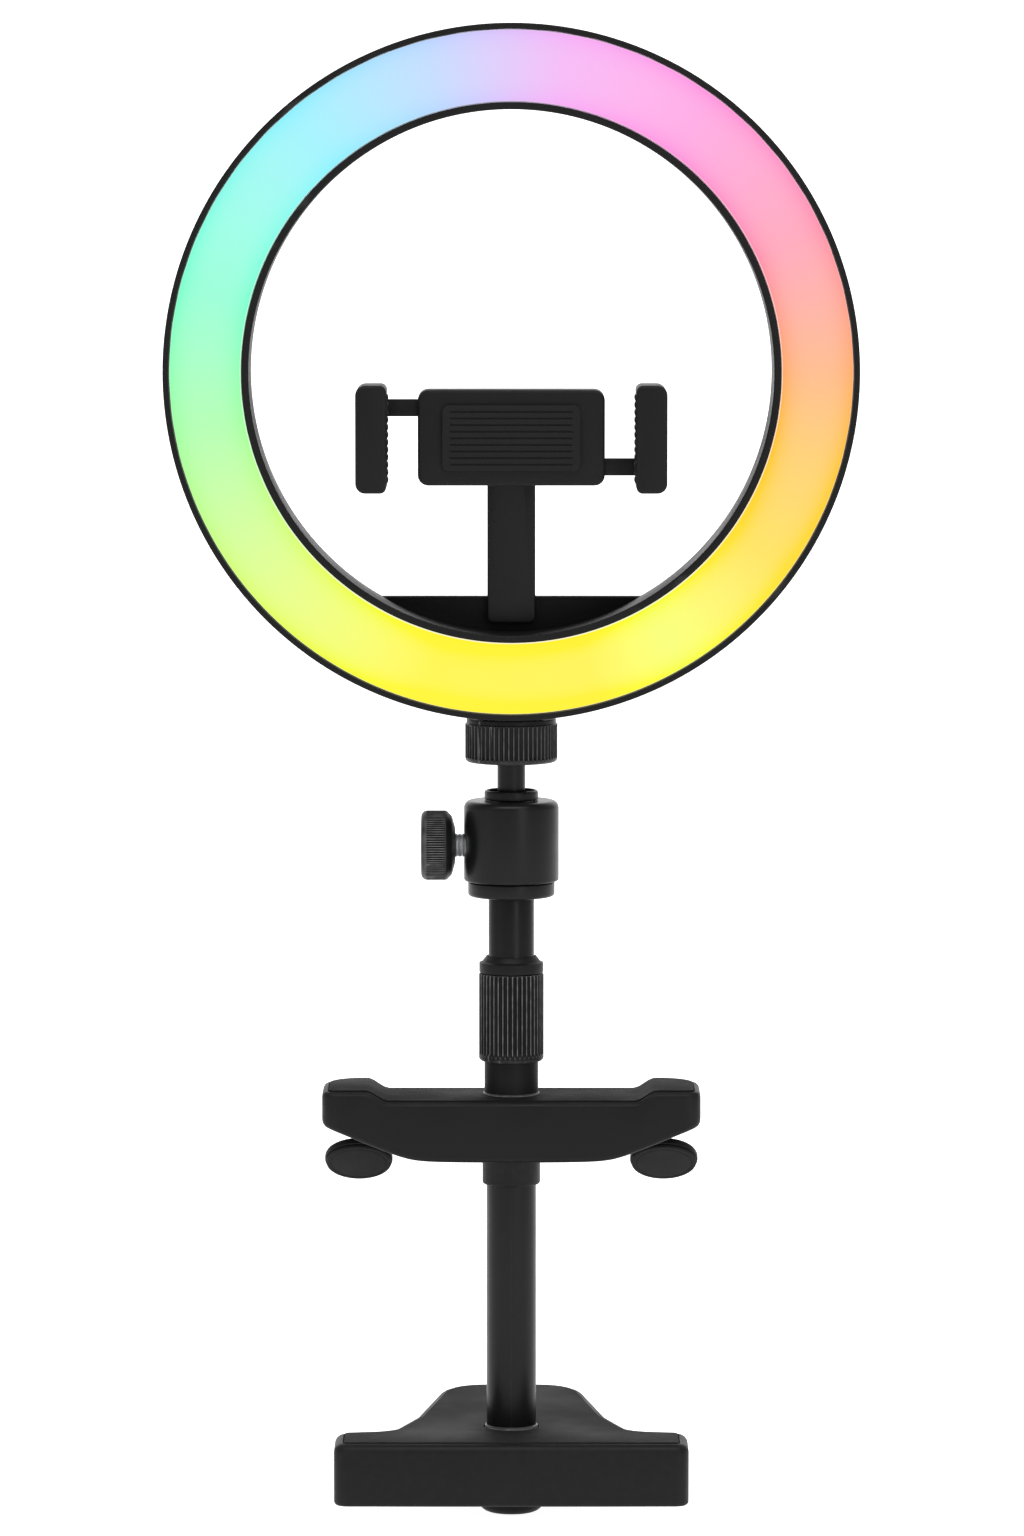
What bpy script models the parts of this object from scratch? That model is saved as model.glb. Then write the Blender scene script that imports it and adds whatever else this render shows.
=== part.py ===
"""Ring light on a telescoping clamp pole, with a phone holder in the ring.

Metres, +Z up, the light faces -Y. The origin is the centre of the lower jaw's gripping face.
Pieces on the pole are drawn about the pole's own axis, so their heights are world heights.
"""

import math

import bmesh
import bpy
from mathutils import Matrix, Vector

# ---- Driving dimensions ----
POLE_Y = -0.030          # the pole stands this far in front of the origin
GAP = 0.0003             # clearance between neighbours that touch
POLE_STEPS = 28          # facets round the pole's pieces
RING_STEPS = 48          # facets round the lamp

JAW_TOP, JAW_BOTTOM = -0.0004, -0.0187
JAW_HALF, JAW_TAIL = 0.0518, 0.0700
JAW_FRONT = -0.0290      # from the pole's axis, as are all depths below
PAD_DEPTH, JAW_RIM = 0.0018, 0.0026   # the rubber sheet, and the rim round its tray
CAP_RADIUS, CAP_BOTTOM = 0.0097, -0.0253
BASE_BORE, SCREW_HEAD, SCREW_SEAT = 0.0028, 0.0042, -0.0228   # the screw through cap and jaw

TUBE_RADIUS, TUBE_BORE = 0.0073, 0.0069
TUBE_FOOT, TUBE_TOP = -0.0140, 0.1310
MAST_RADIUS, MAST_BORE = 0.0067, 0.0059
MAST_FOOT, MAST_TOP = 0.0180, 0.1571

BAR_HALF, BAR_FRONT, BAR_BACK = 0.0553, -0.0172, 0.0140
BAR_TOP, LOBE_RISE, BAR_UNDER = 0.0990, 0.0030, 0.0806
COVER_THICK, BAR_RIM = 0.0016, 0.0014   # the cover lies in a tray with this rim
SLEEVE_RADIUS, SLEEVE_TOP = 0.0079, 0.1110
COLLAR_FOOT_RADIUS, COLLAR_FOOT = 0.0085, 0.0723
SLIDE_BORE = 0.00755     # the jaw's bore round the lower tube
JAW_LOCK_Z = 0.0889

PAD_X, PAD_Y, PAD_BALL_Z = 0.0450, 0.0090, 0.0812
PAD_RADIUS, PAD_FACE = 0.0100, 0.0050
PAD_LEAN = math.radians(38)

TWIST_FOOT, TWIST_TOP, TWIST_RADIUS, TWIST_RIBS = 0.1088, 0.1346, 0.0095, 20
RING_CAP_TOP = 0.1398

DISC_RADIUS, DISC_FOOT, DISC_TOP = 0.0127, 0.1574, 0.1616
HEAD_RADIUS, HEAD_FOOT, HEAD_TOP = 0.0139, 0.1619, 0.1856
BALL_Z, BALL_RADIUS, STEM_RADIUS = 0.1800, 0.0083, 0.0041
NECK_RADIUS, NECK_TOP = 0.0079, 0.1886
LOCK_Z, LOCK_RADIUS, LOCK_RIBS = 0.1723, 0.0102, 28
LOCK_INNER, LOCK_OUTER = -0.0164, -0.0264
STUD_RADIUS, STUD_ROOM = 0.0035, 0.0039
NUT_FOOT, NUT_TOP, NUT_RADIUS, NUT_RIBS = 0.1969, 0.2097, 0.0135, 29
STEM_CLEAR = 0.0034      # the nut's and the insert's bore round the thread
THREAD_RADIUS, THREAD_TOP = 0.0031, 0.2190

RING_Z, RING_RADIUS, HOLE_RADIUS = 0.3111, 0.1006, 0.0758
RING_FRONT, RING_BACK = -0.0200, 0.0080
LIP, BACK_WALL, BACK_ROUND = 0.0013, 0.0020, 0.0060
TRAY_BACK = -0.0064      # back face of the white tray's floor
SCREW_CIRCLE, SCREW_COUNT = 0.0882, 6
WEB_DROP = 0.0658        # the web's top edge, below the ring's centre
WEB_FRONT, WEB_BACK = 0.0010, 0.0050
ARM_THICK = 0.0030

HOLDER_Z = 0.2926
HOLDER_HALF, HOLDER_RISE = 0.0270, 0.0138
HOLDER_BACK, HOLDER_FACE, REST_FACE = -0.0085, -0.0215, -0.0230
GRIP_FACE, GRIP_OUTER, GRIP_RISE = 0.0354, 0.0448, 0.0155
GRIP_FRONT, GRIP_BACK = -0.0330, -0.0120
RACK_FRONT, RACK_BACK = -0.0187, -0.0152
PINION_PITCH, PINION_TEETH = 0.0040, 10

FACING = (math.radians(90), 0, 0)   # turns a piece drawn flat to face the front

BLACK_PLASTIC, BLACK_METAL, RUBBER = "black_plastic", "black_metal", "rubber"
GLOW, STEEL, BRASS = "diffuser_glow", "steel", "brass"
WHITE_PLASTIC, BOARD = "white_plastic", "circuit_board"


# ---- Scene, materials and groups ----
def clear_scene():
    for obj in list(bpy.data.objects):
        bpy.data.objects.remove(obj, do_unlink=True)


def new_collection(name):
    made = bpy.data.collections.new(name)
    bpy.context.scene.collection.children.link(made)
    return made


def new_material(name, color, roughness, metallic=0.0, glow=0.0):
    made = bpy.data.materials.new(name)
    made.use_nodes = True
    shader = made.node_tree.nodes["Principled BSDF"]
    shader.inputs["Base Color"].default_value = (*color, 1.0)
    shader.inputs["Roughness"].default_value = roughness
    shader.inputs["Metallic"].default_value = metallic
    shader.inputs["Emission Color"].default_value = (*color, 1.0)
    shader.inputs["Emission Strength"].default_value = glow
    made.diffuse_color = (*color, 1.0)
    return made


def make_materials():
    new_material(BLACK_PLASTIC, (0.016, 0.017, 0.019), 0.50)
    new_material(BLACK_METAL, (0.020, 0.021, 0.023), 0.36, 0.6)
    new_material(RUBBER, (0.012, 0.012, 0.013), 0.80)
    new_material(GLOW, (0.98, 0.86, 0.80), 0.45, glow=1.0)
    new_material(STEEL, (0.55, 0.56, 0.58), 0.32, 1.0)
    new_material(BRASS, (0.70, 0.52, 0.24), 0.34, 1.0)
    new_material(WHITE_PLASTIC, (0.86, 0.86, 0.84), 0.45)
    new_material(BOARD, (0.78, 0.80, 0.78), 0.55)


def new_group(name, location, lean=0.0):
    """An empty on a moving body's axis. Its pieces are placed in its own space."""
    empty = bpy.data.objects.new(name, None)
    empty.location = location
    empty.rotation_euler.x = lean
    empty.empty_display_size = 0.01
    parts.objects.link(empty)
    return empty


# ---- Shapes ----
def put(obj, group, material, location=(0, 0, 0), rotation=(0, 0, 0)):
    obj.parent = group
    obj.location = location
    obj.rotation_euler = rotation
    obj.data.materials.clear()
    obj.data.materials.append(bpy.data.materials[material])
    return obj


def new_object(name, mesh):
    obj = bpy.data.objects.new(name, mesh)
    parts.objects.link(obj)
    return obj


def arc(x, z, radius, start, end, count=4):
    """Points along an arc in a profile, angles in degrees from +X towards +Z."""
    turns = [math.radians(start + (end - start) * i / count) for i in range(count + 1)]
    return [(x + radius * math.cos(t), z + radius * math.sin(t)) for t in turns]


def turned(name, profile, steps=POLE_STEPS, closed=False):
    """Turns (radius, height) points about Z. They run down the outer side; closed makes a tube of them."""
    mesh = bpy.data.meshes.new(name)
    count = len(profile)
    edges = [(i, i + 1) for i in range(count - 1)] + ([(count - 1, 0)] if closed else [])
    mesh.from_pydata([(r, 0, z) for r, z in profile], edges, [])
    obj = new_object(name, mesh)
    screw = obj.modifiers.new("Turn", "SCREW")
    screw.steps = screw.render_steps = steps
    screw.use_merge_vertices = True
    screw.merge_threshold = 1e-5
    screw.use_smooth_shade = True
    return obj


def tube(name, outer, inner, top, bottom, steps=POLE_STEPS):
    profile = [(outer, top), (outer, bottom), (inner, bottom), (inner, top)]
    return turned(name, profile, steps, closed=True)


def rounded(corners, count=4):
    """The outline through (x, y, radius) corners, each replaced by an arc that touches both its sides."""
    points = []
    for i, (x, y, radius) in enumerate(corners):
        corner = Vector((x, y))
        before = Vector(corners[i - 1][:2]) - corner
        after = Vector(corners[(i + 1) % len(corners)][:2]) - corner
        half = before.angle(after) / 2
        centre = corner + (before.normalized() + after.normalized()).normalized() * radius / math.sin(half)
        reach = radius / math.tan(half)
        start = corner + before.normalized() * reach - centre
        sweep = start.angle_signed(corner + after.normalized() * reach - centre)
        for step in range(count + 1):
            turn = -sweep * step / count
            points.append(tuple(centre + Matrix.Rotation(turn, 2) @ start))
    return points


def inset(outline, distance):
    """The outline moved inwards by a distance. The outline runs counterclockwise."""
    moved = []
    for i, point in enumerate(outline):
        before = (Vector(point) - Vector(outline[i - 1])).normalized()
        after = (Vector(outline[(i + 1) % len(outline)]) - Vector(point)).normalized()
        along = (before + after).normalized()
        moved.append(tuple(Vector(point) + Vector((-along.y, along.x)) * distance))
    return moved


def outline_solid(name, outline, thickness):
    """A flat outline made a plate whose middle plane is at its own origin."""
    curve = bpy.data.curves.new(name, "CURVE")
    curve.dimensions = "2D"
    curve.fill_mode = "BOTH"
    curve.extrude = thickness / 2
    spline = curve.splines.new("POLY")
    spline.points.add(len(outline) - 1)
    for point, (x, y) in zip(spline.points, outline):
        point.co = (x, y, 0, 1)
    spline.use_cyclic_u = True
    guide = new_object(name + "_outline", curve)
    bpy.context.view_layer.update()
    mesh = bpy.data.meshes.new_from_object(guide.evaluated_get(bpy.context.evaluated_depsgraph_get()))
    bpy.data.objects.remove(guide)
    edit = bmesh.new()
    edit.from_mesh(mesh)
    bmesh.ops.remove_doubles(edit, verts=edit.verts, dist=1e-6)
    bmesh.ops.dissolve_limit(edit, angle_limit=math.radians(0.5), verts=edit.verts, edges=edit.edges)
    bmesh.ops.recalc_face_normals(edit, faces=edit.faces)
    edit.to_mesh(mesh)
    edit.free()
    return new_object(name, mesh)


def box(name, low, high):
    edit = bmesh.new()
    bmesh.ops.create_cube(edit, size=1)
    size = Vector(high) - Vector(low)
    bmesh.ops.scale(edit, vec=size, verts=edit.verts)
    bmesh.ops.translate(edit, vec=(Vector(high) + Vector(low)) / 2, verts=edit.verts)
    mesh = bpy.data.meshes.new(name)
    edit.to_mesh(mesh)
    edit.free()
    return new_object(name, mesh)


def rod(name, radius, start, end, sides=24):
    """A cylinder between two points."""
    start, end = Vector(start), Vector(end)
    edit = bmesh.new()
    bmesh.ops.create_cone(edit, cap_ends=True, segments=sides, radius1=radius, radius2=radius,
                          depth=(end - start).length)
    turn = Vector((0, 0, 1)).rotation_difference(end - start).to_matrix()
    bmesh.ops.rotate(edit, matrix=turn, verts=edit.verts)
    bmesh.ops.translate(edit, vec=(start + end) / 2, verts=edit.verts)
    mesh = bpy.data.meshes.new(name)
    edit.to_mesh(mesh)
    edit.free()
    return new_object(name, mesh)


def join(obj, tool, operation="DIFFERENCE", solver="EXACT"):
    """Cuts obj by tool, or unites or intersects them. The tool sits in obj's own space, as a guide."""
    for home in list(tool.users_collection):
        home.objects.unlink(tool)
    cutters.objects.link(tool)
    tool.hide_render = True
    tool.display_type = "WIRE"
    tool.parent = obj
    boolean = obj.modifiers.new(tool.name, "BOOLEAN")
    boolean.operation = operation
    boolean.solver = solver
    boolean.object = tool
    return obj


def soften(obj, width, segments=2, limit=40):
    bevel = obj.modifiers.new("Soft edges", "BEVEL")
    bevel.width = width
    bevel.segments = segments
    bevel.limit_method = "ANGLE"
    bevel.angle_limit = math.radians(limit)
    return obj


def smooth_all():
    for obj in parts.objects:
        if obj.type == "MESH":
            obj.data.shade_smooth()
            obj.data.set_sharp_from_angle(angle=math.radians(32))


def ribbed(radius, depth, count):
    """A toothed outline: rib tips at the radius, grooves this much deeper."""
    turns = [math.pi * i / count for i in range(2 * count)]
    return [((radius - depth * (i % 2)) * math.cos(t), (radius - depth * (i % 2)) * math.sin(t))
            for i, t in enumerate(turns)]


def knurl(obj, radius, depth, count, low, high):
    """Keeps what lies inside a ribbed prism, so that ribs show wherever the turned shape is wide enough."""
    prism = outline_solid(obj.name + "_ribs", ribbed(radius, depth, count), high - low + 0.004)
    prism.location.z = (low + high) / 2
    return join(obj, prism, "INTERSECT")


# ---- Clamp foot ----
def jaw_outline():
    """The lower jaw seen from above: a wide front bar whose middle runs back as a tapering tongue."""
    right = [(JAW_HALF, JAW_FRONT, 0.0040), (JAW_HALF, -0.0080, 0.0045), (0.0360, -0.0055, 0.0080),
             (0.0285, 0.0180, 0.0200), (0.0200, JAW_TAIL, 0.0140)]
    left = [(-x, y, radius) for x, y, radius in reversed(right)]
    return rounded(right + left)


def make_lower_jaw(group):
    middle = (JAW_TOP + JAW_BOTTOM) / 2
    jaw = outline_solid("lower_jaw", jaw_outline(), JAW_TOP - JAW_BOTTOM)
    put(jaw, group, BLACK_PLASTIC, (0, 0, middle))
    soften(jaw, 0.0020, 2, 60)
    tray = outline_solid("jaw_tray", inset(jaw_outline(), JAW_RIM), 2 * PAD_DEPTH)
    tray.location.z = JAW_TOP - middle
    join(jaw, tray)
    join(jaw, rod("jaw_socket", TUBE_RADIUS + GAP, (0, 0, TUBE_FOOT - GAP - middle), (0, 0, 0.010)))
    join(jaw, rod("jaw_screw_hole", BASE_BORE, (0, 0, -0.012), (0, 0, 0)))


def make_jaw_pad(group):
    pad = outline_solid("lower_jaw_pad", inset(jaw_outline(), JAW_RIM + GAP), PAD_DEPTH)
    put(pad, group, RUBBER, (0, 0, -PAD_DEPTH / 2))
    join(pad, rod("pad_tube_hole", TUBE_RADIUS + 0.0009, (0, 0, -PAD_DEPTH), (0, 0, PAD_DEPTH)))


def make_base_cap(group):
    edge = arc(CAP_RADIUS - 0.0030, CAP_BOTTOM + 0.0030, 0.0030, 0, -90, 3)
    profile = [(CAP_RADIUS, JAW_BOTTOM - GAP)] + edge + [
        (SCREW_HEAD + 0.0004, CAP_BOTTOM), (SCREW_HEAD + 0.0004, SCREW_SEAT + GAP),
        (BASE_BORE, SCREW_SEAT + GAP), (BASE_BORE, JAW_BOTTOM - GAP)]
    put(turned("base_cap", profile, closed=True), group, BLACK_PLASTIC)


def make_base_screw(group):
    shank, top, foot = BASE_BORE - 0.0004, -0.0065, CAP_BOTTOM + GAP
    profile = [(0, top), (shank, top), (shank, SCREW_SEAT), (SCREW_HEAD, SCREW_SEAT), (SCREW_HEAD, foot),
               (0, foot)]
    put(turned("base_screw", profile, 24), group, STEEL)


def make_pole_tube(group):
    put(tube("lower_tube", TUBE_RADIUS, TUBE_BORE, TUBE_TOP, TUBE_FOOT), group, BLACK_METAL)


def make_tube_plug(group):
    radius, top, bore_top = TUBE_BORE - GAP, -0.0040, -0.0060
    plug = turned("tube_plug", [(0, top), (radius, top), (radius, TUBE_FOOT), (BASE_BORE - 0.0001, TUBE_FOOT),
                                (BASE_BORE - 0.0001, bore_top), (0, bore_top)], 20)
    put(plug, group, BLACK_PLASTIC)


def make_collet(group):
    """The sleeve on the fixed tube. Its lip closes on the mast when the collar is turned."""
    profile = [(0.0082, 0.1341), (0.0082, 0.1140), (0.0076, 0.1140), (0.0076, TUBE_TOP + GAP),
               (0.0070, TUBE_TOP + 3 * GAP), (0.0070, 0.1341)]
    put(turned("collet", profile, closed=True), group, BLACK_PLASTIC)


# ---- Twist lock ----
def make_twist_collar(group):
    edge = 0.0008
    profile = ([(TWIST_RADIUS + 0.0003 - edge, TWIST_TOP), (TWIST_RADIUS + 0.0003, TWIST_TOP - edge),
                (TWIST_RADIUS + 0.0003, TWIST_FOOT + 0.0012)]
               + arc(TWIST_RADIUS - 0.0012, TWIST_FOOT + 0.0010, 0.0010, 0, -90, 1)
               + [(0.0083, TWIST_FOOT), (0.0083, 0.1136), (0.0086, 0.1139), (0.0086, TWIST_TOP)])
    collar = turned("twist_collar", profile, closed=True)
    put(knurl(collar, TWIST_RADIUS, 0.00045, TWIST_RIBS, TWIST_FOOT, TWIST_TOP), group, BLACK_PLASTIC)


def make_collar_cap(group):
    foot = TWIST_TOP + GAP
    profile = [(0.0076, RING_CAP_TOP), (0.0092, 0.1378), (0.0094, 0.1374), (0.0094, foot),
               (0.0070, foot), (0.0070, RING_CAP_TOP)]
    put(turned("collar_cap", profile, closed=True), group, BLACK_PLASTIC)


# ---- Sliding upper jaw ----
def bar_top(x):
    """Height of the bar's top: low in the middle, with a soft step up to each end."""
    share = min(max((abs(x) - 0.0360) / 0.0065, 0), 1)
    return BAR_TOP + LOBE_RISE * share * share * (3 - 2 * share)


def bar_under(x):
    """Height of its underside: flat in the middle, then sloping up to the ends."""
    out = abs(x) - 0.0295
    return BAR_UNDER + 0.42 * (math.hypot(out, 0.005) + out) / 2


def bar_front_outline(low, high, corner):
    """The bar seen from the front, between two functions of x, with its four end corners cut off."""
    stations = [BAR_HALF * (i / 14 - 1) for i in range(29)]
    foot = [(x, low(x)) for x in stations]
    top = [(x, high(x)) for x in reversed(stations)]
    if not corner:
        return foot + top
    end_foot, end_top = low(BAR_HALF) + corner, high(BAR_HALF) - corner
    right = [(BAR_HALF, end_foot), (BAR_HALF, end_top), (BAR_HALF - corner, high(BAR_HALF))]
    left = [(corner - BAR_HALF, high(BAR_HALF)), (-BAR_HALF, end_top), (-BAR_HALF, end_foot)]
    return foot[1:-1] + right + top[1:-1] + left


def bar_plan(name, drawn_in):
    """The bar seen from above, drawn in by some distance all round, as a tall prism."""
    half, front, back = BAR_HALF - drawn_in, BAR_FRONT + drawn_in, BAR_BACK - drawn_in
    near, far = 0.0040 - drawn_in, 0.0120 - drawn_in
    corners = [(-half, front, near), (half, front, near), (half, back, far), (-half, back, far)]
    return outline_solid(name, rounded(corners, 5), 0.040)


def bar_solid(name, low, high, drawn_in=0.0, corner=0.0):
    """A length of bar whose front view and plan are both given: one prism kept inside the other."""
    bar = outline_solid(name, bar_front_outline(low, high, corner), 0.060)
    bar.data.transform(Matrix.Rotation(math.radians(90), 4, "X"))
    plan = bar_plan(name + "_plan", drawn_in)
    plan.location.z = (BAR_TOP + BAR_UNDER) / 2
    return join(bar, plan, "INTERSECT")


def make_upper_jaw(group):
    jaw = bar_solid("upper_jaw", bar_under, bar_top, corner=0.0012)
    put(jaw, group, BLACK_PLASTIC)
    tray = bar_solid("cover_tray", lambda x: bar_top(x) - COVER_THICK - GAP, lambda x: bar_top(x) + 0.004,
                     BAR_RIM)
    join(jaw, tray)
    inside = (BAR_TOP + BAR_UNDER) / 2
    join(jaw, rod("jaw_sleeve", SLEEVE_RADIUS, (0, 0, inside), (0, 0, SLEEVE_TOP), 48), "UNION")
    join(jaw, rod("jaw_foot_collar", COLLAR_FOOT_RADIUS, (0, 0, COLLAR_FOOT), (0, 0, inside), 48), "UNION")
    join(jaw, rod("jaw_bore", SLIDE_BORE, (0, 0, 0.060), (0, 0, 0.120), 48))
    for side in (-1, 1):
        near, far = sorted((side * 0.0115, side * 0.0360))
        join(jaw, box(f"jaw_room_{side}", (near, -0.0148, 0.0860), (far, 0.0110, 0.1000)))
        join(jaw, rod(f"jaw_stud_hole_{side}", 0.0023, (side * PAD_X, PAD_Y, 0.070),
                      (side * PAD_X, PAD_Y, 0.0945), 16))
    join(jaw, rod("jaw_lock_hole", 0.0026, (0, 0.0050, JAW_LOCK_Z), (0, 0.0200, JAW_LOCK_Z), 16))
    join(jaw, rod("jaw_insert_seat", 0.0039, (0, 0.0098, JAW_LOCK_Z), (0, 0.0200, JAW_LOCK_Z), 20))


def make_jaw_cover(group):
    cover = bar_solid("upper_jaw_cover", lambda x: bar_top(x) - COVER_THICK, bar_top, BAR_RIM + GAP)
    put(cover, group, BLACK_PLASTIC)
    join(cover, rod("cover_sleeve_hole", SLEEVE_RADIUS + GAP, (0, 0, 0.080), (0, 0, 0.120), 48))


def make_jaw_lock(jaw_group, lock_group):
    insert = tube("jaw_lock_insert", 0.0036, 0.0023, 0.0138, 0.0101, 20)
    put(insert, jaw_group, BRASS, (0, 0, JAW_LOCK_Z), (math.radians(-90), 0, 0))
    screw = turned("jaw_lock_screw", [(0, 0.0240), (0.0018, 0.0240), (0.0018, 0.0078), (0, 0.0078)], 20)
    put(screw, lock_group, STEEL, rotation=(math.radians(-90), 0, 0))
    profile = [(0, 0.0262), (0.0060, 0.0262), (0.0075, 0.0250), (0.0075, 0.0185), (0.0046, 0.0165),
               (0.0021, 0.0165), (0.0021, 0.0243), (0, 0.0243)]
    knob = turned("jaw_lock_knob", profile, 24)
    put(knurl(knob, 0.0074, 0.0006, 24, 0.0165, 0.0262), lock_group, BLACK_PLASTIC,
        rotation=(math.radians(-90), 0, 0))


def make_ball_stud(side, name, group):
    ball, neck = 0.0028, 0.0015
    join_turn = math.degrees(math.acos(neck / ball))
    profile = [(0, 0.0120), (0.0020, 0.0120), (0.0020, 0.0038), (neck, 0.0030)]
    profile += arc(0, 0, ball, join_turn, -90, 5)
    stud = turned(name, profile, 16)
    put(stud, group, STEEL, (side * PAD_X, PAD_Y, PAD_BALL_Z))


def make_swivel_pad(name, group):
    """A disc with a socket for the ball stud, drawn about the ball's centre with its face below."""
    plate_top, plate_foot = -0.0012, 0.0011 - PAD_FACE
    socket = 0.0031
    mouth = math.degrees(math.asin(0.0008 / socket))
    profile = (arc(0, 0, socket, -90, mouth, 4)
               + [(0.0034, 0.0008), (0.0046, 0.0004), (0.0056, plate_top)]
               + [(PAD_RADIUS - 0.0014, plate_top - 0.0004), (PAD_RADIUS, plate_top - 0.0014)]
               + [(PAD_RADIUS, plate_foot), (0, plate_foot)])
    put(turned(name, profile, 24), group, BLACK_PLASTIC)


def make_pad_face(name, group):
    top, foot = 0.0008 - PAD_FACE, -PAD_FACE
    profile = [(0, top), (PAD_RADIUS - 0.0004, top), (PAD_RADIUS - 0.0004, foot + 0.0003),
               (PAD_RADIUS - 0.0008, foot), (0, foot)]
    put(turned(name, profile, 24), group, RUBBER)


# ---- Mast and ball head ----
def make_mast(group):
    put(tube("upper_tube", MAST_RADIUS, MAST_BORE, MAST_TOP, MAST_FOOT), group, BLACK_METAL)
    foot = [(0, 0.0280), (0.0056, 0.0280), (0.0056, MAST_FOOT - GAP), (0.00665, MAST_FOOT - GAP),
            (0.00665, 0.0155), (0, 0.0155)]
    put(turned("upper_tube_foot", foot, 24), group, BLACK_PLASTIC)


def make_head_base(group):
    edge = arc(DISC_RADIUS - 0.0010, DISC_FOOT + 0.0010, 0.0010, 0, -90, 2)
    profile = ([(DISC_RADIUS - 0.0003, DISC_TOP), (DISC_RADIUS, DISC_TOP - 0.0003)] + edge
               + [(0.0056, DISC_FOOT), (0.0056, 0.1450), (0.0028, 0.1450), (0.0028, DISC_TOP)])
    put(turned("head_base", profile, closed=True), group, BLACK_METAL)
    bolt = [(0, 0.1668), (0.0044, 0.1668), (0.0044, 0.1650), (0.0024, 0.1650), (0.0024, 0.1480), (0, 0.1480)]
    put(turned("pan_bolt", bolt, 24), group, STEEL)


def make_head(group):
    room, ball_room = 0.0092, BALL_RADIUS + 0.00025
    lip_top = math.degrees(math.asin(0.0054 / ball_room))
    lip_foot = math.degrees(math.asin(0.0036 / ball_room))
    profile = ([(0.0070, HEAD_TOP)] + arc(HEAD_RADIUS - 0.0020, HEAD_TOP - 0.0020, 0.0020, 90, 0, 3)
               + arc(HEAD_RADIUS - 0.0006, HEAD_FOOT + 0.0006, 0.0006, 0, -90, 1)
               + [(0.0029, HEAD_FOOT), (0.0029, 0.1646), (room, 0.1646), (room, BALL_Z + 0.0030)]
               + arc(0, BALL_Z, ball_room, lip_foot, lip_top, 2))
    housing = turned("ball_housing", profile, closed=True)
    put(housing, group, BLACK_METAL)
    join(housing, rod("lock_stud_hole", STUD_ROOM, (-0.0200, 0, LOCK_Z), (-0.0060, 0, LOCK_Z)))
    ring = ([(0.0070, NECK_TOP - 0.0004), (0.0072, NECK_TOP)]
            + arc(NECK_RADIUS - 0.0005, NECK_TOP - 0.0005, 0.0005, 90, 0, 1)
            + [(NECK_RADIUS, HEAD_TOP + GAP), (0.0070, HEAD_TOP + GAP)])
    put(turned("neck_ring", ring, closed=True), group, BLACK_METAL)
    cup = 0.0086
    rim = math.degrees(math.acos(0.0060 / cup))
    bowl = [(r, z) for r, z in arc(0, BALL_Z, cup, -90, -rim, 4)]
    seat = bowl + [(0.0062, bowl[-1][1]), (0.0062, 0.1671), (0, 0.1671)]
    put(turned("ball_seat", seat, 24), group, WHITE_PLASTIC)
    shoe = turned("clamp_shoe", [(0, -0.0067), (0.0028, -0.0067), (0.0028, -0.0088), (0, -0.0088)], 20)
    put(shoe, group, BRASS, (0, 0, LOCK_Z - 0.0012), (0, math.radians(90), 0))


def make_ball_lock(group):
    tip, end = -0.0091, -0.0226
    stud = turned("lock_stud", [(0, tip), (STUD_RADIUS, tip), (STUD_RADIUS, end), (0, end)], 24)
    put(stud, group, STEEL, rotation=(0, math.radians(90), 0))
    bore_foot = -0.0229
    profile = [(0, bore_foot), (STUD_ROOM, bore_foot), (STUD_ROOM, LOCK_INNER), (0.0068, LOCK_INNER),
               (LOCK_RADIUS + 0.0002, LOCK_INNER - 0.0012), (LOCK_RADIUS + 0.0002, LOCK_OUTER + 0.0008),
               (LOCK_RADIUS - 0.0006, LOCK_OUTER), (0, LOCK_OUTER)]
    knob = turned("lock_knob", profile)
    knurl(knob, LOCK_RADIUS, 0.00035, LOCK_RIBS, LOCK_OUTER, LOCK_INNER)
    put(knob, group, BLACK_PLASTIC, rotation=(0, math.radians(90), 0))


def make_ball_stem(group):
    meet = math.degrees(math.acos(STEM_RADIUS / BALL_RADIUS))
    profile = ([(0, THREAD_TOP), (THREAD_RADIUS, THREAD_TOP), (THREAD_RADIUS, NUT_FOOT - GAP),
                (STEM_RADIUS, NUT_FOOT - GAP)] + arc(0, BALL_Z, BALL_RADIUS, meet, -90, 8))
    put(turned("ball_stem", profile, 24), group, STEEL, (0, 0, -BALL_Z))


def make_locknut(group):
    wide = NUT_RADIUS + 0.0003
    band = NUT_RADIUS - 0.0007
    profile = ([(band, NUT_TOP), (band, NUT_TOP - 0.0012), (wide, NUT_TOP - 0.0018)]
               + [(wide, NUT_FOOT + 0.0022)] + arc(NUT_RADIUS - 0.0018, NUT_FOOT + 0.0016, 0.0016, 0, -90, 2)
               + [(STEM_CLEAR, NUT_FOOT), (STEM_CLEAR, NUT_TOP)])
    nut = turned("locknut", profile, closed=True)
    put(knurl(nut, NUT_RADIUS, 0.00040, NUT_RIBS, NUT_FOOT, NUT_TOP), group, BLACK_METAL)


# ---- Ring lamp. Its pieces are drawn about the ring's own axis, with +Z of the profile to the front ----
def screw_places():
    turns = [2 * math.pi * i / SCREW_COUNT for i in range(SCREW_COUNT)]
    return [(SCREW_CIRCLE * math.cos(t), SCREW_CIRCLE * math.sin(t)) for t in turns]


def web_outline():
    """The segment that closes the bottom of the ring's hole."""
    reach = HOLE_RADIUS + 0.0008
    half = math.acos(WEB_DROP / reach)
    turns = [-math.pi / 2 - half + 2 * half * i / 14 for i in range(15)]
    return [(reach * math.cos(t), reach * math.sin(t)) for t in turns]


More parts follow.
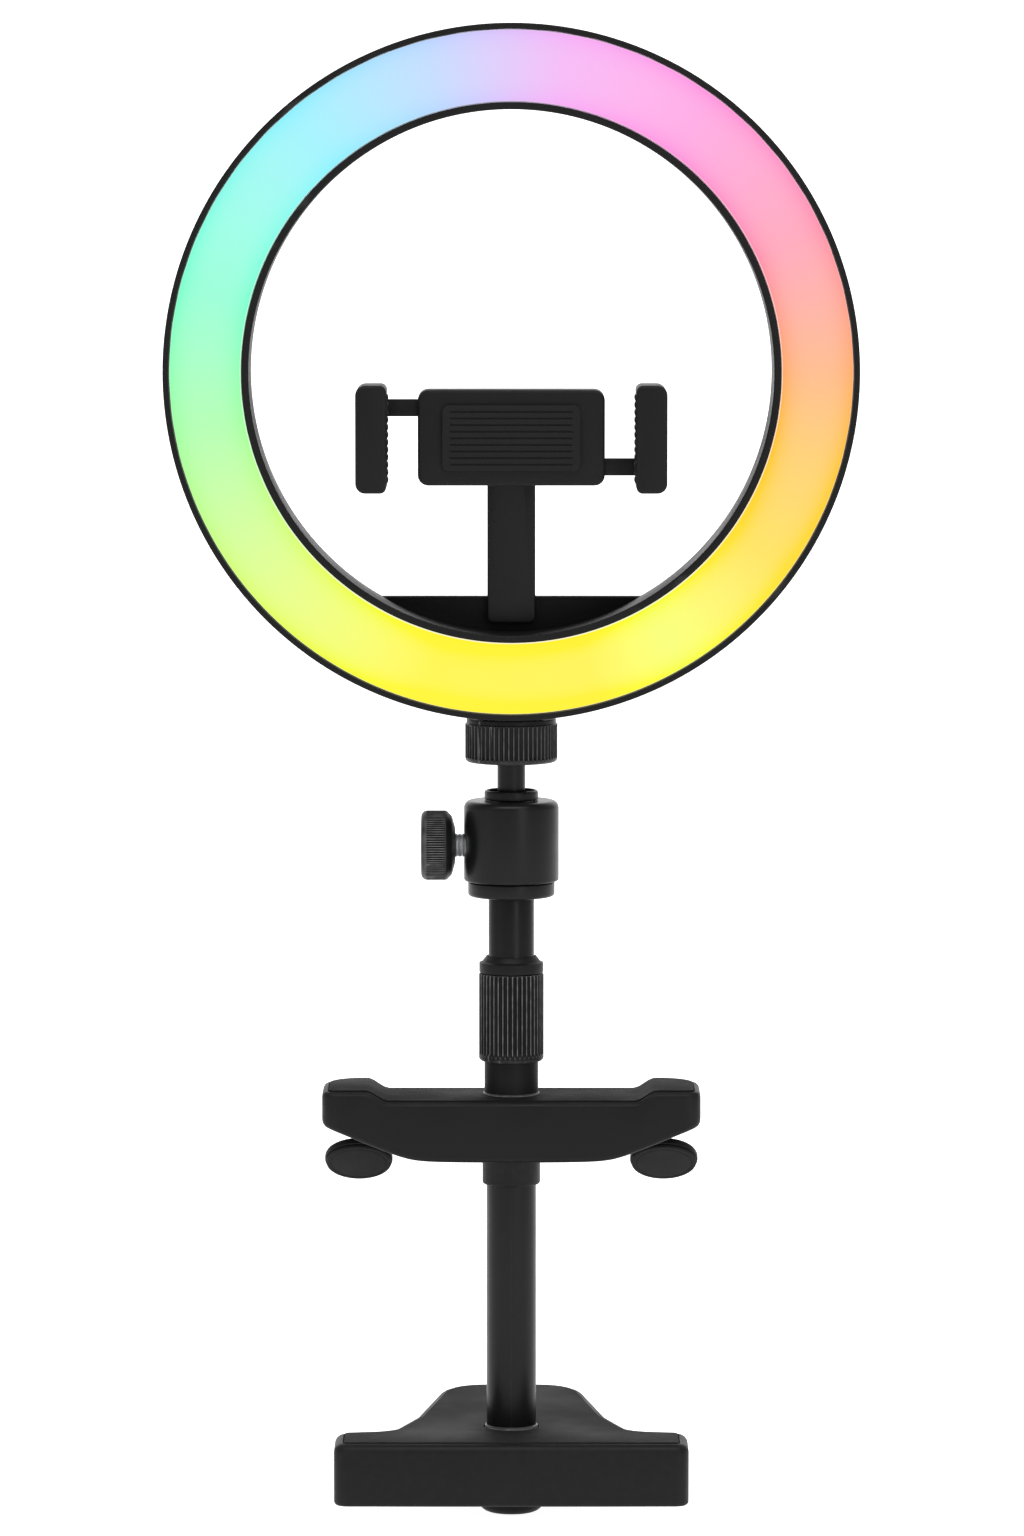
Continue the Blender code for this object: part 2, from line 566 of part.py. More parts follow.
def make_rear_shell(group):
    front, back = -RING_FRONT, -RING_BACK
    out_wall, in_wall = RING_RADIUS - LIP, HOLE_RADIUS + LIP
    profile = ([(RING_RADIUS - 0.0004, front), (RING_RADIUS, front - 0.0004)]
               + arc(RING_RADIUS - BACK_ROUND, back + BACK_ROUND, BACK_ROUND, 0, -90, 3)
               + arc(HOLE_RADIUS + BACK_ROUND, back + BACK_ROUND, BACK_ROUND, -90, -180, 3)
               + [(HOLE_RADIUS, front - 0.0004), (HOLE_RADIUS + 0.0004, front), (in_wall, front)]
               + [(in_wall, back + 0.0070), (in_wall + 0.0045, back + BACK_WALL)]
               + [(out_wall - 0.0045, back + BACK_WALL), (out_wall, back + 0.0070), (out_wall, front)])
    shell = turned("rear_shell", profile, RING_STEPS, closed=True)
    put(shell, group, BLACK_PLASTIC, rotation=FACING)
    web = outline_solid("ring_web", web_outline(), WEB_BACK - WEB_FRONT)
    web.location.z = -(WEB_FRONT + WEB_BACK) / 2
    join(shell, web, "UNION")
    foot = NUT_TOP + GAP - RING_Z
    join(shell, box("mount_boss", (-0.0090, foot, -0.0070), (0.0090, -0.0880, 0.0060)), "UNION")
    join(shell, rod("mount_bore", 0.0055, (0, foot - 0.002, 0), (0, -0.0890, 0), 24))
    for i, (x, y) in enumerate(screw_places()):
        join(shell, rod(f"shell_screw_hole_{i}", 0.0014, (x, y, -0.012), (x, y, 0), 12))
        join(shell, rod(f"shell_screw_sink_{i}", 0.0026, (x, y, -0.012), (x, y, back + 0.0012), 16))
    join(shell, box("inlet_window", (-0.0288, -0.0907, -0.012), (-0.0190, -0.0869, -0.003)))
    for side in (-1, 1):
        join(shell, rod(f"web_screw_hole_{side}", 0.0013, (side * 0.0040, -0.0695, -0.012),
                        (side * 0.0040, -0.0695, 0.002), 12))


def make_diffuser(group):
    """A shallow dome between the two lips, with a skirt down each edge."""
    outer, inner = RING_RADIUS - LIP - GAP, HOLE_RADIUS + LIP + GAP
    front, crown = 0.0194, 0.0004
    middle, half = (outer + inner) / 2, (outer - inner) / 2
    foot, wall = 0.0155, 0.0014
    face = [(middle + half * s, front + crown * (1 - s * s)) for s in (-0.94, -0.4, 0.4, 0.94)]
    roof, edge = front - wall, front - 0.0005
    under = [(outer - wall, foot), (outer - wall, roof), (inner + wall, roof), (inner + wall, foot)]
    profile = face + [(outer, edge), (outer, foot)] + under + [(inner, foot), (inner, edge)]
    put(turned("diffuser", profile, RING_STEPS, closed=True), group, GLOW, rotation=FACING)


def make_light_tray(group):
    """The white channel that holds the lamp board, with a screw post behind it at each fixing."""
    floor, back = -TRAY_BACK + 0.0008, -TRAY_BACK
    outer, inner = RING_RADIUS - LIP - GAP, HOLE_RADIUS + LIP + GAP
    profile = [(outer, 0.0150), (outer, back), (inner, back), (inner, 0.0150), (inner + 0.0009, 0.0150),
               (inner + 0.0009, floor), (outer - 0.0009, floor), (outer - 0.0009, 0.0150)]
    tray = turned("light_tray", profile, RING_STEPS, closed=True)
    put(tray, group, WHITE_PLASTIC, rotation=FACING)
    for i, (x, y) in enumerate(screw_places()):
        join(tray, rod(f"tray_post_{i}", 0.0030, (x, y, -0.0055), (x, y, back + 0.0004), 8), "UNION")
        join(tray, rod(f"tray_post_bore_{i}", 0.0013, (x, y, -0.007), (x, y, 0.0035), 8))


def lamp_chips():
    """All the light chips as one guide mesh of separate blocks."""
    edit = bmesh.new()
    count = 24
    for i in range(count):
        turn = Matrix.Rotation(2 * math.pi * (i + 0.5) / count, 4, "Z")
        chip = Matrix.Translation((SCREW_CIRCLE, 0, 0)) @ Matrix.Diagonal((0.0035, 0.0035, 0.0018, 1))
        bmesh.ops.create_cube(edit, size=1, matrix=turn @ chip)
    mesh = bpy.data.meshes.new("lamp_chips")
    edit.to_mesh(mesh)
    edit.free()
    return new_object("lamp_chips", mesh)


def make_boards(group):
    front, back = 0.0087, 0.0075
    board = tube("led_board", RING_RADIUS - 0.0030, HOLE_RADIUS + 0.0030, front, back, RING_STEPS)
    put(board, group, BOARD, rotation=FACING)
    chips = lamp_chips()
    chips.location.z = front
    join(board, chips, "UNION")
    driver = box("driver_board", (0.0130, -0.0915, 0.0012), (0.0330, -0.0810, 0.0024))
    put(driver, group, BOARD, rotation=FACING)
    join(driver, box("driver_coil", (0.0150, -0.0900, -0.0022), (0.0210, -0.0850, 0.0014)), "UNION")
    join(driver, box("driver_chip", (0.0240, -0.0900, -0.0006), (0.0300, -0.0850, 0.0014)), "UNION")


def make_ring_fittings(group):
    foot = NUT_TOP + GAP - RING_Z
    insert = turned("mount_insert", [(0.0052, -0.0893), (0.0052, foot + GAP), (STEM_CLEAR, foot + GAP),
                                     (STEM_CLEAR, -0.0893)], 24, closed=True)
    put(insert, group, BRASS)
    inlet = box("power_inlet", (-0.0285, -0.0904, -0.0078), (-0.0193, -0.0872, -0.0010))
    put(inlet, group, STEEL, rotation=FACING)
    join(inlet, box("inlet_mouth", (-0.0281, -0.0900, -0.0100), (-0.0197, -0.0876, -0.0016)))
    join(inlet, box("inlet_tongue", (-0.0270, -0.08915, -0.0068), (-0.0208, -0.08845, -0.0012)), "UNION")
    for i, (x, y) in enumerate(screw_places()):
        screw = turned(f"shell_screw_{i + 1}", [(0, 0.0023), (0.0011, 0.0023), (0.0011, -0.0071),
                                                (0.0022, -0.0071), (0.0022, -0.0079), (0, -0.0079)], 10)
        put(screw, group, STEEL, (x, 0, y), FACING)


# ---- Phone holder. Profiles about its swivel axis run with +Z to the front ----
def make_holder_arm(group):
    """Screwed to the ring's web, it rises to the swivel boss. It is drawn about the ring's centre."""
    lift = HOLDER_Z - RING_Z
    corners = [(-0.0070, -0.0735, 0.0020), (0.0070, -0.0735, 0.0020), (0.0070, lift + 0.0070, 0.0068),
               (-0.0070, lift + 0.0070, 0.0068)]
    arm = outline_solid("holder_arm", rounded(corners), ARM_THICK)
    put(arm, group, BLACK_METAL, (0, WEB_FRONT - GAP - ARM_THICK / 2, 0), FACING)
    join(arm, rod("swivel_boss", 0.0066, (0, lift, 0), (0, lift, 0.0062), 32), "UNION")
    join(arm, rod("swivel_boss_bore", 0.0028, (0, lift, -0.010), (0, lift, 0.012), 20))
    for side in (-1, 1):
        x = side * 0.0040
        join(arm, rod(f"arm_screw_bore_{side}", 0.0013, (x, -0.0695, -0.010), (x, -0.0695, 0.0006), 12))
        screw = turned("arm_screw_" + ("left" if side < 0 else "right"),
                       [(0, 0.0010), (0.0010, 0.0010), (0.0010, -WEB_BACK - GAP), (0.0021, -WEB_BACK - GAP),
                        (0.0021, -WEB_BACK - 0.0016), (0, -WEB_BACK - 0.0016)], 10)
        put(screw, group, STEEL, (x, 0, -0.0695), FACING)


def make_swivel(group):
    lift = HOLDER_Z - RING_Z
    head, washer_back = 0.0122, 0.0073
    bolt = [(0, head), (0.0044, head), (0.0044, 0.0108), (0.0024, 0.0108), (0.0024, -0.0060), (0, -0.0060)]
    put(turned("swivel_bolt", bolt, 24), group, STEEL, (0, 0, lift), FACING)
    washer = tube("swivel_washer", 0.0064, 0.0028, washer_back + 0.0009, washer_back, 20)
    put(washer, group, WHITE_PLASTIC, (0, 0, lift), FACING)
    nut_front, nut_back = -WEB_FRONT, -WEB_FRONT - 0.0040
    nut = tube("swivel_nut", 0.0058, 0.0027, nut_front, nut_back, 16)
    knurl(nut, 0.0056, 0.0004, 12, nut_back, nut_front)
    put(nut, group, BLACK_PLASTIC, (0, 0, lift), FACING)


def holder_outline(grow=0.0):
    x, y = HOLDER_HALF + grow, HOLDER_RISE + grow
    return rounded([(-x, -y, 0.0030), (x, -y, 0.0030), (x, y, 0.0030), (-x, y, 0.0030)], 3)


def rack_height(side):
    """The left grip's rack runs above the pinion and the right grip's below it."""
    low, high = PINION_PITCH + 0.0009, PINION_PITCH + 0.0070
    return (low, high) if side < 0 else (-high, -low)


def make_holder_shell(group):
    front = -HOLDER_FACE - 0.0022 - GAP
    back = -HOLDER_BACK
    shell = outline_solid("holder_shell", holder_outline(), front - back)
    put(shell, group, BLACK_PLASTIC, (0, -(front + back) / 2, 0), FACING)
    middle = (front + back) / 2
    room = outline_solid("holder_room", holder_outline(-0.0016), front - back)
    room.location.z = 0.0020
    join(shell, room)
    join(shell, rod("holder_swivel_hole", 0.0028, (0, 0, -0.010), (0, 0, 0.010), 20))
    for side in (-1, 1):
        low, high = rack_height(side)
        near, far = sorted((side * 0.0220, side * 0.0300))
        join(shell, box(f"rack_slot_{side}", (near, low - 0.0006, -RACK_BACK - 0.0005 - middle),
                        (far, high + 0.0006, 0.012)))


def make_holder_plate(group):
    front, back = -HOLDER_FACE, -HOLDER_FACE - 0.0022
    plate = outline_solid("holder_plate", holder_outline(), front - back)
    put(plate, group, BLACK_PLASTIC, (0, -(front + back) / 2, 0), FACING)
    soften(plate, 0.0005, 2, 60)
    join(plate, rod("pinion_post", 0.0014, (0, 0, 0), (0, 0, 0.0132 - (front + back) / 2), 16), "UNION")
    half, rise, thick = 0.0200, 0.0095, 0.0012
    corners = [(-half, -rise, 0.002), (half, -rise, 0.002), (half, rise, 0.002), (-half, rise, 0.002)]
    rest = outline_solid("holder_rest", rounded(corners, 3), thick)
    put(rest, group, RUBBER, (0, REST_FACE + thick / 2, 0), FACING)


def rack_outline(side):
    """A toothed bar from inside a jaw to just past the pinion, its teeth towards the pinion."""
    low, high = rack_height(-1)
    pitch = 2 * math.pi * PINION_PITCH / PINION_TEETH
    inner, outer, root = 0.0120, -0.0380, low + 0.0012
    teeth = []
    x = inner - 0.0006
    while x > -0.0180:
        teeth += [(x, root), (x - 0.3 * pitch, low), (x - 0.5 * pitch, low), (x - 0.8 * pitch, root)]
        x -= pitch
    points = [(inner, high), (outer, high), (outer, root)] + teeth[::-1] + [(inner, root)]
    return points if side < 0 else [(-px, -py) for px, py in points]


def make_grip(side, name, group):
    jaw_low, jaw_high = sorted((side * (GRIP_FACE + 0.0005), side * GRIP_OUTER))
    middle = (GRIP_FRONT + GRIP_BACK) / 2
    depth = GRIP_BACK - GRIP_FRONT
    round_out, round_in = 0.0028, 0.0018
    low_round = round_out if side < 0 else round_in
    high_round = round_in if side < 0 else round_out
    outline = rounded([(jaw_low, -GRIP_RISE, low_round), (jaw_high, -GRIP_RISE, high_round),
                       (jaw_high, GRIP_RISE, high_round), (jaw_low, GRIP_RISE, low_round)])
    jaw = outline_solid(name + "_jaw", outline, depth)
    put(jaw, group, BLACK_PLASTIC, (0, middle, 0), FACING)
    soften(jaw, 0.0005, 1, 60)
    rack = outline_solid(name + "_rack", rack_outline(side), RACK_BACK - RACK_FRONT)
    rack.location.z = middle - (RACK_FRONT + RACK_BACK) / 2
    join(jaw, rack, "UNION", "MANIFOLD")
    near, far = sorted((side * (GRIP_FACE - 0.002), side * (GRIP_FACE + 0.0015)))
    pocket_front, pocket_back = GRIP_FRONT + 0.0018, -0.0215
    pocket_low, pocket_high = (near, -0.0132, middle - pocket_back), (far, 0.0132, middle - pocket_front)
    join(jaw, box(name + "_pocket", pocket_low, pocket_high))
    near, far = sorted((side * GRIP_FACE, side * (GRIP_FACE + 0.0012)))
    pad_rise = 0.0132 - GAP
    pad = box(name + "_pad", (near, pocket_front + GAP, -pad_rise), (far, pocket_back - GAP, pad_rise))
    put(pad, group, RUBBER)


def make_pinion(group):
    """Its teeth are drawn short, so that they clear the racks by a hair in every position."""
    tip, root = PINION_PITCH + 0.0005, PINION_PITCH - 0.0009
    outline = []
    for i in range(PINION_TEETH):
        centre = 2 * math.pi * (i + 0.5) / PINION_TEETH
        for radius, off in ((root, -0.20), (tip, -0.08), (tip, 0.08), (root, 0.20)):
            outline.append((radius * math.cos(centre + off), radius * math.sin(centre + off)))
    thickness = 0.0032
    middle = (-RACK_FRONT - RACK_BACK) / 2
    pinion = outline_solid("grip_pinion", outline, thickness)
    put(pinion, group, WHITE_PLASTIC, (0, -middle, 0), FACING)
    join(pinion, rod("pinion_hub", 0.0023, (0, 0, 0.0134 - middle), (0, 0, 0), 20), "UNION")
    join(pinion, rod("pinion_bore", 0.0018, (0, 0, -0.010), (0, 0, 0.010), 16))


def make_grip_spring(group):
    """The coil round the pinion's hub that draws the two grips together."""
    wire, radius, turns, low, high = 0.00025, 0.0031, 2.5, 0.0136, 0.0149
    curve = bpy.data.curves.new("grip_spring", "CURVE")
    curve.dimensions = "3D"
    curve.bevel_depth = wire
    curve.bevel_resolution = 2
    curve.use_fill_caps = True
    spline = curve.splines.new("POLY")
    count = 20
    spline.points.add(count)
    for i, point in enumerate(spline.points):
        angle = 2 * math.pi * turns * i / count
        point.co = (radius * math.cos(angle), radius * math.sin(angle), low + (high - low) * i / count, 1)
    spring = new_object("grip_spring", curve)
    spring.parent = group
    spring.rotation_euler = FACING
    curve.materials.append(bpy.data.materials[STEEL])


# ---- The object ----
clear_scene()
parts = new_collection("ring_light")
cutters = new_collection("cutters")
cutters.hide_render = True
make_materials()

clamp = new_group("clamp_base", (0, POLE_Y, 0))
make_lower_jaw(clamp)
make_jaw_pad(clamp)
make_base_cap(clamp)
make_base_screw(clamp)
make_pole_tube(clamp)
make_tube_plug(clamp)
make_collet(clamp)

twist_lock = new_group("twist_lock_axis", (0, POLE_Y, 0))
make_twist_collar(twist_lock)
make_collar_cap(twist_lock)

jaw_slider = new_group("upper_jaw_axis", (0, POLE_Y, 0))
make_upper_jaw(jaw_slider)
make_jaw_cover(jaw_slider)
jaw_lock = new_group("jaw_lock_axis", (0, POLE_Y, JAW_LOCK_Z))
make_jaw_lock(jaw_slider, jaw_lock)
for side, word in ((-1, "left"), (1, "right")):
    make_ball_stud(side, word + "_ball_stud", jaw_slider)
    tilt = new_group(word + "_pad_axis", (side * PAD_X, POLE_Y + PAD_Y, PAD_BALL_Z), -PAD_LEAN)
    make_swivel_pad(word + "_swivel_pad", tilt)
    make_pad_face(word + "_pad_face", tilt)

mast = new_group("mast_axis", (0, POLE_Y, 0))
make_mast(mast)
make_head_base(mast)
head = new_group("head_pan_axis", (0, POLE_Y, 0))
make_head(head)
make_ball_lock(new_group("ball_lock_axis", (0, POLE_Y, LOCK_Z)))
make_ball_stem(new_group("ball_tilt_axis", (0, POLE_Y, BALL_Z)))
make_locknut(new_group("locknut_axis", (0, POLE_Y, 0)))

ring = new_group("ring_spin_axis", (0, POLE_Y, RING_Z))
make_rear_shell(ring)
make_diffuser(ring)
make_light_tray(ring)
make_boards(ring)
make_ring_fittings(ring)
make_holder_arm(ring)
make_swivel(ring)

holder = new_group("holder_spin_axis", (0, POLE_Y, HOLDER_Z))
make_holder_shell(holder)
make_holder_plate(holder)
make_grip_spring(holder)
for side, word in ((-1, "left"), (1, "right")):
    make_grip(side, word + "_grip", new_group(word + "_grip_axis", (0, POLE_Y, HOLDER_Z)))
make_pinion(new_group("pinion_axis", (0, POLE_Y, HOLDER_Z)))
smooth_all()
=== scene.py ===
import math

import bmesh
import bpy
from mathutils import Matrix, Vector


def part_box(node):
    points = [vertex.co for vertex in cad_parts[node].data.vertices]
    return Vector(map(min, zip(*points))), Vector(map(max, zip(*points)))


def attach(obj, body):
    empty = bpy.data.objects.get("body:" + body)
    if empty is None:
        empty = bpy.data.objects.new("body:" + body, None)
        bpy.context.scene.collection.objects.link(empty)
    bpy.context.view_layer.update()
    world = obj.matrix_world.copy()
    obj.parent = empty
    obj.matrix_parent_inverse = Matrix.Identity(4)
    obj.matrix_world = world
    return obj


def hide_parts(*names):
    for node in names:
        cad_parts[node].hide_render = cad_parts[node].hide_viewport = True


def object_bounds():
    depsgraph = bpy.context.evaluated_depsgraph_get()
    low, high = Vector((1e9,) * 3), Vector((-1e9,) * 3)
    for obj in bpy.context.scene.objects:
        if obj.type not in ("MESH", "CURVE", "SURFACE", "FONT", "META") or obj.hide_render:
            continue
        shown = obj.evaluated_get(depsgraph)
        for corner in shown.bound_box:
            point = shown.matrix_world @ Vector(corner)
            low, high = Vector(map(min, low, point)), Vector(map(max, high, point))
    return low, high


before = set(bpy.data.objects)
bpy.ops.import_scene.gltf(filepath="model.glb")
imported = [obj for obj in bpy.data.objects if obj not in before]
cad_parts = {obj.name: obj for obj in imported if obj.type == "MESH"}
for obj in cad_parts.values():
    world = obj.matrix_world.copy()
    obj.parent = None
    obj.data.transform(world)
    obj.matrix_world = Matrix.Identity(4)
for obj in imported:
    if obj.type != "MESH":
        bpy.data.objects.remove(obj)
cad_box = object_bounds()


# ---- Studio ----
# A white paper sweep under and behind the ring light, with a long soft lamp overhead, a tall one to
# the right and a weak one to the left. The camera stands back two metres, level with the ring's top.
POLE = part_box("lower_tube")
POLE_Y = (POLE[0].y + POLE[1].y) / 2
FLOOR = cad_box[0][2] - 0.0002
SWEEP_HALF, SWEEP_NEAR, SWEEP_FAR, SWEEP_RISE, SWEEP_TURN = 6.0, -5.0, 5.0, 5.0, 1.4

camera_lens = bpy.data.cameras.new("camera")
camera_lens.lens = 164.8
camera_lens.sensor_width = 36
camera_lens.sensor_fit = "VERTICAL"
camera_lens.sensor_height = 36
camera = bpy.data.objects.new("camera", camera_lens)
camera.location = (0.0002, POLE_Y - 2.048, 0.3904)
camera.rotation_euler = (math.radians(90 - 5.45), 0, 0)
bpy.context.scene.collection.objects.link(camera)
bpy.context.scene.camera = camera
bpy.context.scene.view_settings.view_transform = "Standard"

world = bpy.data.worlds.new("studio_air")
world.use_nodes = True
world.node_tree.nodes["Background"].inputs["Color"].default_value = (1, 1, 1, 1)
world.node_tree.nodes["Background"].inputs["Strength"].default_value = 0.55
bpy.context.scene.world = world


def add_lamp(name, power, size, place, aim):
    light = bpy.data.lights.new(name, "AREA")
    light.shape = "RECTANGLE"
    light.size, light.size_y = size
    light.energy = power
    lamp = bpy.data.objects.new(name, light)
    lamp.location = place
    lamp.rotation_euler = (Vector(aim) - Vector(place)).to_track_quat("-Z", "Y").to_euler()
    bpy.context.scene.collection.objects.link(lamp)


add_lamp("overhead_lamp", 34, (2.0, 0.6), (0.0, -1.0, 2.1), (0, 0, 0.1))
add_lamp("front_right_lamp", 11, (0.5, 1.8), (1.1, -2.2, 0.9), (0, 0, 0.15))
add_lamp("left_lamp", 1.6, (0.5, 1.6), (-1.9, -1.2, 0.8), (0, 0, 0.15))

sweep_mesh = bpy.data.meshes.new("paper_sweep")
sweep_edit = bmesh.new()
sweep_path = [(SWEEP_NEAR, FLOOR)]
for step in range(17):
    turn = math.radians(90 * step / 16)
    sweep_path.append((SWEEP_FAR + SWEEP_TURN * math.sin(turn), FLOOR + SWEEP_TURN * (1 - math.cos(turn))))
sweep_path.append((SWEEP_FAR + SWEEP_TURN, SWEEP_RISE))
sweep_rows = [[sweep_edit.verts.new((x, y, z)) for x in (-SWEEP_HALF, SWEEP_HALF)] for y, z in sweep_path]
for near, far in zip(sweep_rows, sweep_rows[1:]):
    sweep_edit.faces.new((near[0], near[1], far[1], far[0]))
sweep_edit.to_mesh(sweep_mesh)
sweep_edit.free()
sweep_mesh.shade_smooth()
sweep = bpy.data.objects.new("paper_sweep", sweep_mesh)
bpy.context.scene.collection.objects.link(sweep)

paper = bpy.data.materials.new("sweep_paper")
paper.use_nodes = True
paper_nodes, paper_links = paper.node_tree.nodes, paper.node_tree.links
paper_shader = paper_nodes["Principled BSDF"]
paper_shader.inputs["Roughness"].default_value = 0.9
paper_shader.inputs["Specular IOR Level"].default_value = 0.1
paper_shader.inputs["Emission Color"].default_value = (1, 1, 1, 1)
paper_shader.inputs["Emission Strength"].default_value = 0.95
paper_fibre = paper_nodes.new("ShaderNodeTexNoise")
paper_fibre.inputs["Scale"].default_value = 900
paper_tone = paper_nodes.new("ShaderNodeMapRange")
paper_tone.inputs["To Min"].default_value = 0.80
paper_tone.inputs["To Max"].default_value = 0.86
paper_links.new(paper_fibre.outputs["Fac"], paper_tone.inputs["Value"])
paper_links.new(paper_tone.outputs["Result"], paper_shader.inputs["Base Color"])
sweep_mesh.materials.append(paper)


# ---- Lower jaw ----
# A satin black moulding: a wide bar in front whose middle runs back under the desk as a tapering tongue.
# Its top carries a rubber sheet in a shallow tray, and its underside is cored out between the walls.
def eased(corners, closed=True, steps=6):
    """Points through (x, y) or (x, y, radius) corners. A corner with a radius is turned by an arc."""
    points = []
    for i, corner in enumerate(corners):
        here = Vector(corner[:2])
        if len(corner) == 2 or (not closed and i in (0, len(corners) - 1)):
            points.append(here)
            continue
        before = (Vector(corners[i - 1][:2]) - here).normalized()
        after = (Vector(corners[(i + 1) % len(corners)][:2]) - here).normalized()
        half = before.angle(after) / 2
        centre = here + (before + after).normalized() * corner[2] / math.sin(half)
        start = here + before * corner[2] / math.tan(half) - centre
        sweep_angle = start.angle_signed(here + after * corner[2] / math.tan(half) - centre)
        points += [centre + Matrix.Rotation(-sweep_angle * k / steps, 2) @ start for k in range(steps + 1)]
    return points


def oblong(low_x, low_y, high_x, high_y, corner=0.0):
    """A rectangle's outline, its corners rounded if they are given a radius."""
    corners = [(low_x, low_y), (high_x, low_y), (high_x, high_y), (low_x, high_y)]
    return eased([(x, y, corner) if corner else (x, y) for x, y in corners])


def drawn_in(outline, distance):
    """A counterclockwise outline moved inwards."""
    moved = []
    for i, point in enumerate(outline):
        before = (point - outline[i - 1]).normalized()
        after = (outline[(i + 1) % len(outline)] - point).normalized()
        along = (before + after).normalized()
        moved.append(point + Vector((-along.y, along.x)) * distance)
    return moved


def keep_mesh(name, edit, place):
    """Closes an edit into an object whose mesh is in the frame's own space, smooth with crisp edges."""
    bmesh.ops.recalc_face_normals(edit, faces=edit.faces)
    mesh = bpy.data.meshes.new(name)
    edit.to_mesh(mesh)
    edit.free()
    mesh.transform(place)
    mesh.shade_smooth()
    mesh.set_sharp_from_angle(angle=math.radians(35))
    piece = bpy.data.objects.new(name, mesh)
    bpy.context.scene.collection.objects.link(piece)
    return piece


def moulding(name, outline, low, high, place, soft=0.0, foot_soft=None):
    """A flat outline raised from one height to another, with its top and foot edges rounded."""
    edit = bmesh.new()
    base = edit.faces.new([edit.verts.new((x, y, low)) for x, y in outline])
    raised = bmesh.ops.extrude_face_region(edit, geom=[base])["geom"]
    raised_points = [part for part in raised if isinstance(part, bmesh.types.BMVert)]
    bmesh.ops.translate(edit, vec=(0, 0, high - low), verts=raised_points)
    for height, width in ((high, soft), (low, soft if foot_soft is None else foot_soft)):
        rim = [e for e in edit.edges if all(abs(v.co.z - height) < 1e-7 for v in e.verts)]
        if width:
            bmesh.ops.bevel(edit, geom=rim, offset=width, segments=4, profile=0.5, affect="EDGES")
    return keep_mesh(name, edit, place)


def drill(name, radius, start, end, sides=64):
    """A round cutter between two points."""
    start, end = Vector(start), Vector(end)
    edit = bmesh.new()
    bmesh.ops.create_cone(edit, cap_ends=True, segments=sides, radius1=radius, radius2=radius,
                          depth=(end - start).length)
    turn = Vector((0, 0, 1)).rotation_difference(end - start).to_matrix().to_4x4()
    return keep_mesh(name, edit, Matrix.Translation((start + end) / 2) @ turn)


def cut(piece, *cutters, operation="DIFFERENCE"):
    """Cuts a piece by each cutter, or joins them to it, and throws the cutters away."""
    for cutter in cutters:
        boolean = piece.modifiers.new("cut", "BOOLEAN")
        boolean.operation = operation
        boolean.object = cutter
    evaluated = piece.evaluated_get(bpy.context.evaluated_depsgraph_get())
    mesh = bpy.data.meshes.new_from_object(evaluated)
    piece.modifiers.clear()
    piece.data = mesh
    mesh.set_sharp_from_angle(angle=math.radians(35))
    for cutter in cutters:
        bpy.data.objects.remove(cutter)
    return piece


def new_effect(name, inputs, outputs):
    """An empty shader group with number inputs, given as (name, value), and number outputs."""
    effect = bpy.data.node_groups.new(name, "ShaderNodeTree")
    for label, value in inputs:
        effect.interface.new_socket(label, in_out="INPUT",
                                    socket_type="NodeSocketFloat").default_value = value
    for label in outputs:
        effect.interface.new_socket(label, in_out="OUTPUT", socket_type="NodeSocketFloat")
    return effect, effect.nodes.new("NodeGroupInput"), effect.nodes.new("NodeGroupOutput")


# Fine grain for bump, and broad soft clouds where hands have polished or dulled the surface.
GRAIN_START = (0.137, 0.291, 0.173)
grain, grain_in, grain_out = new_effect("surface_grain", [("Grain Scale", 5000), ("Cloud Scale", 45)],
                                        ["Height", "Clouds"])
grain_place, grain_start = grain.nodes.new("ShaderNodeTexCoord"), grain.nodes.new("ShaderNodeVectorMath")
grain_start.inputs[1].default_value = GRAIN_START
grain.links.new(grain_place.outputs["Object"], grain_start.inputs[0])
for scale_label, detail, output_label in (("Grain Scale", 3, "Height"), ("Cloud Scale", 5, "Clouds")):
    noise = grain.nodes.new("ShaderNodeTexNoise")
    noise.inputs["Detail"].default_value = detail
    grain.links.new(grain_start.outputs["Vector"], noise.inputs["Vector"])
    grain.links.new(grain_in.outputs[scale_label], noise.inputs["Scale"])
    grain.links.new(noise.outputs["Fac"], grain_out.inputs[output_label])

# Painted highlight: outer edges, found by pointiness, are lightened in broken patches, standing in for the
# light that rounded edges catch.
edge_highlight, edge_highlight_in, edge_highlight_out = new_effect("painted_edge_highlight", [("Start", 0.515), ("Full", 0.60)], ["Rub"])
highlight_shape = edge_highlight.nodes.new("ShaderNodeNewGeometry")
highlight_range = edge_highlight.nodes.new("ShaderNodeMapRange")
highlight_place = edge_highlight.nodes.new("ShaderNodeTexCoord")
highlight_patches = edge_highlight.nodes.new("ShaderNodeTexNoise")
highlight_patches.inputs["Scale"].default_value = 420
highlight_broken = edge_highlight.nodes.new("ShaderNodeMath")
highlight_broken.operation = "MULTIPLY"
edge_highlight.links.new(highlight_shape.outputs["Pointiness"], highlight_range.inputs["Value"])
edge_highlight.links.new(edge_highlight_in.outputs["Start"], highlight_range.inputs["From Min"])
edge_highlight.links.new(edge_highlight_in.outputs["Full"], highlight_range.inputs["From Max"])
edge_highlight.links.new(highlight_place.outputs["Object"], highlight_patches.inputs["Vector"])
edge_highlight.links.new(highlight_range.outputs["Result"], highlight_broken.inputs[0])
edge_highlight.links.new(highlight_patches.outputs["Fac"], highlight_broken.inputs[1])
edge_highlight.links.new(highlight_broken.outputs["Value"], edge_highlight_out.inputs["Rub"])


def place_effect(nodes, effect, **values):
    node = nodes.new("ShaderNodeGroup")
    node.node_tree = effect
    for label, value in values.items():
        node.inputs[label.replace("_", " ")].default_value = value
    return node


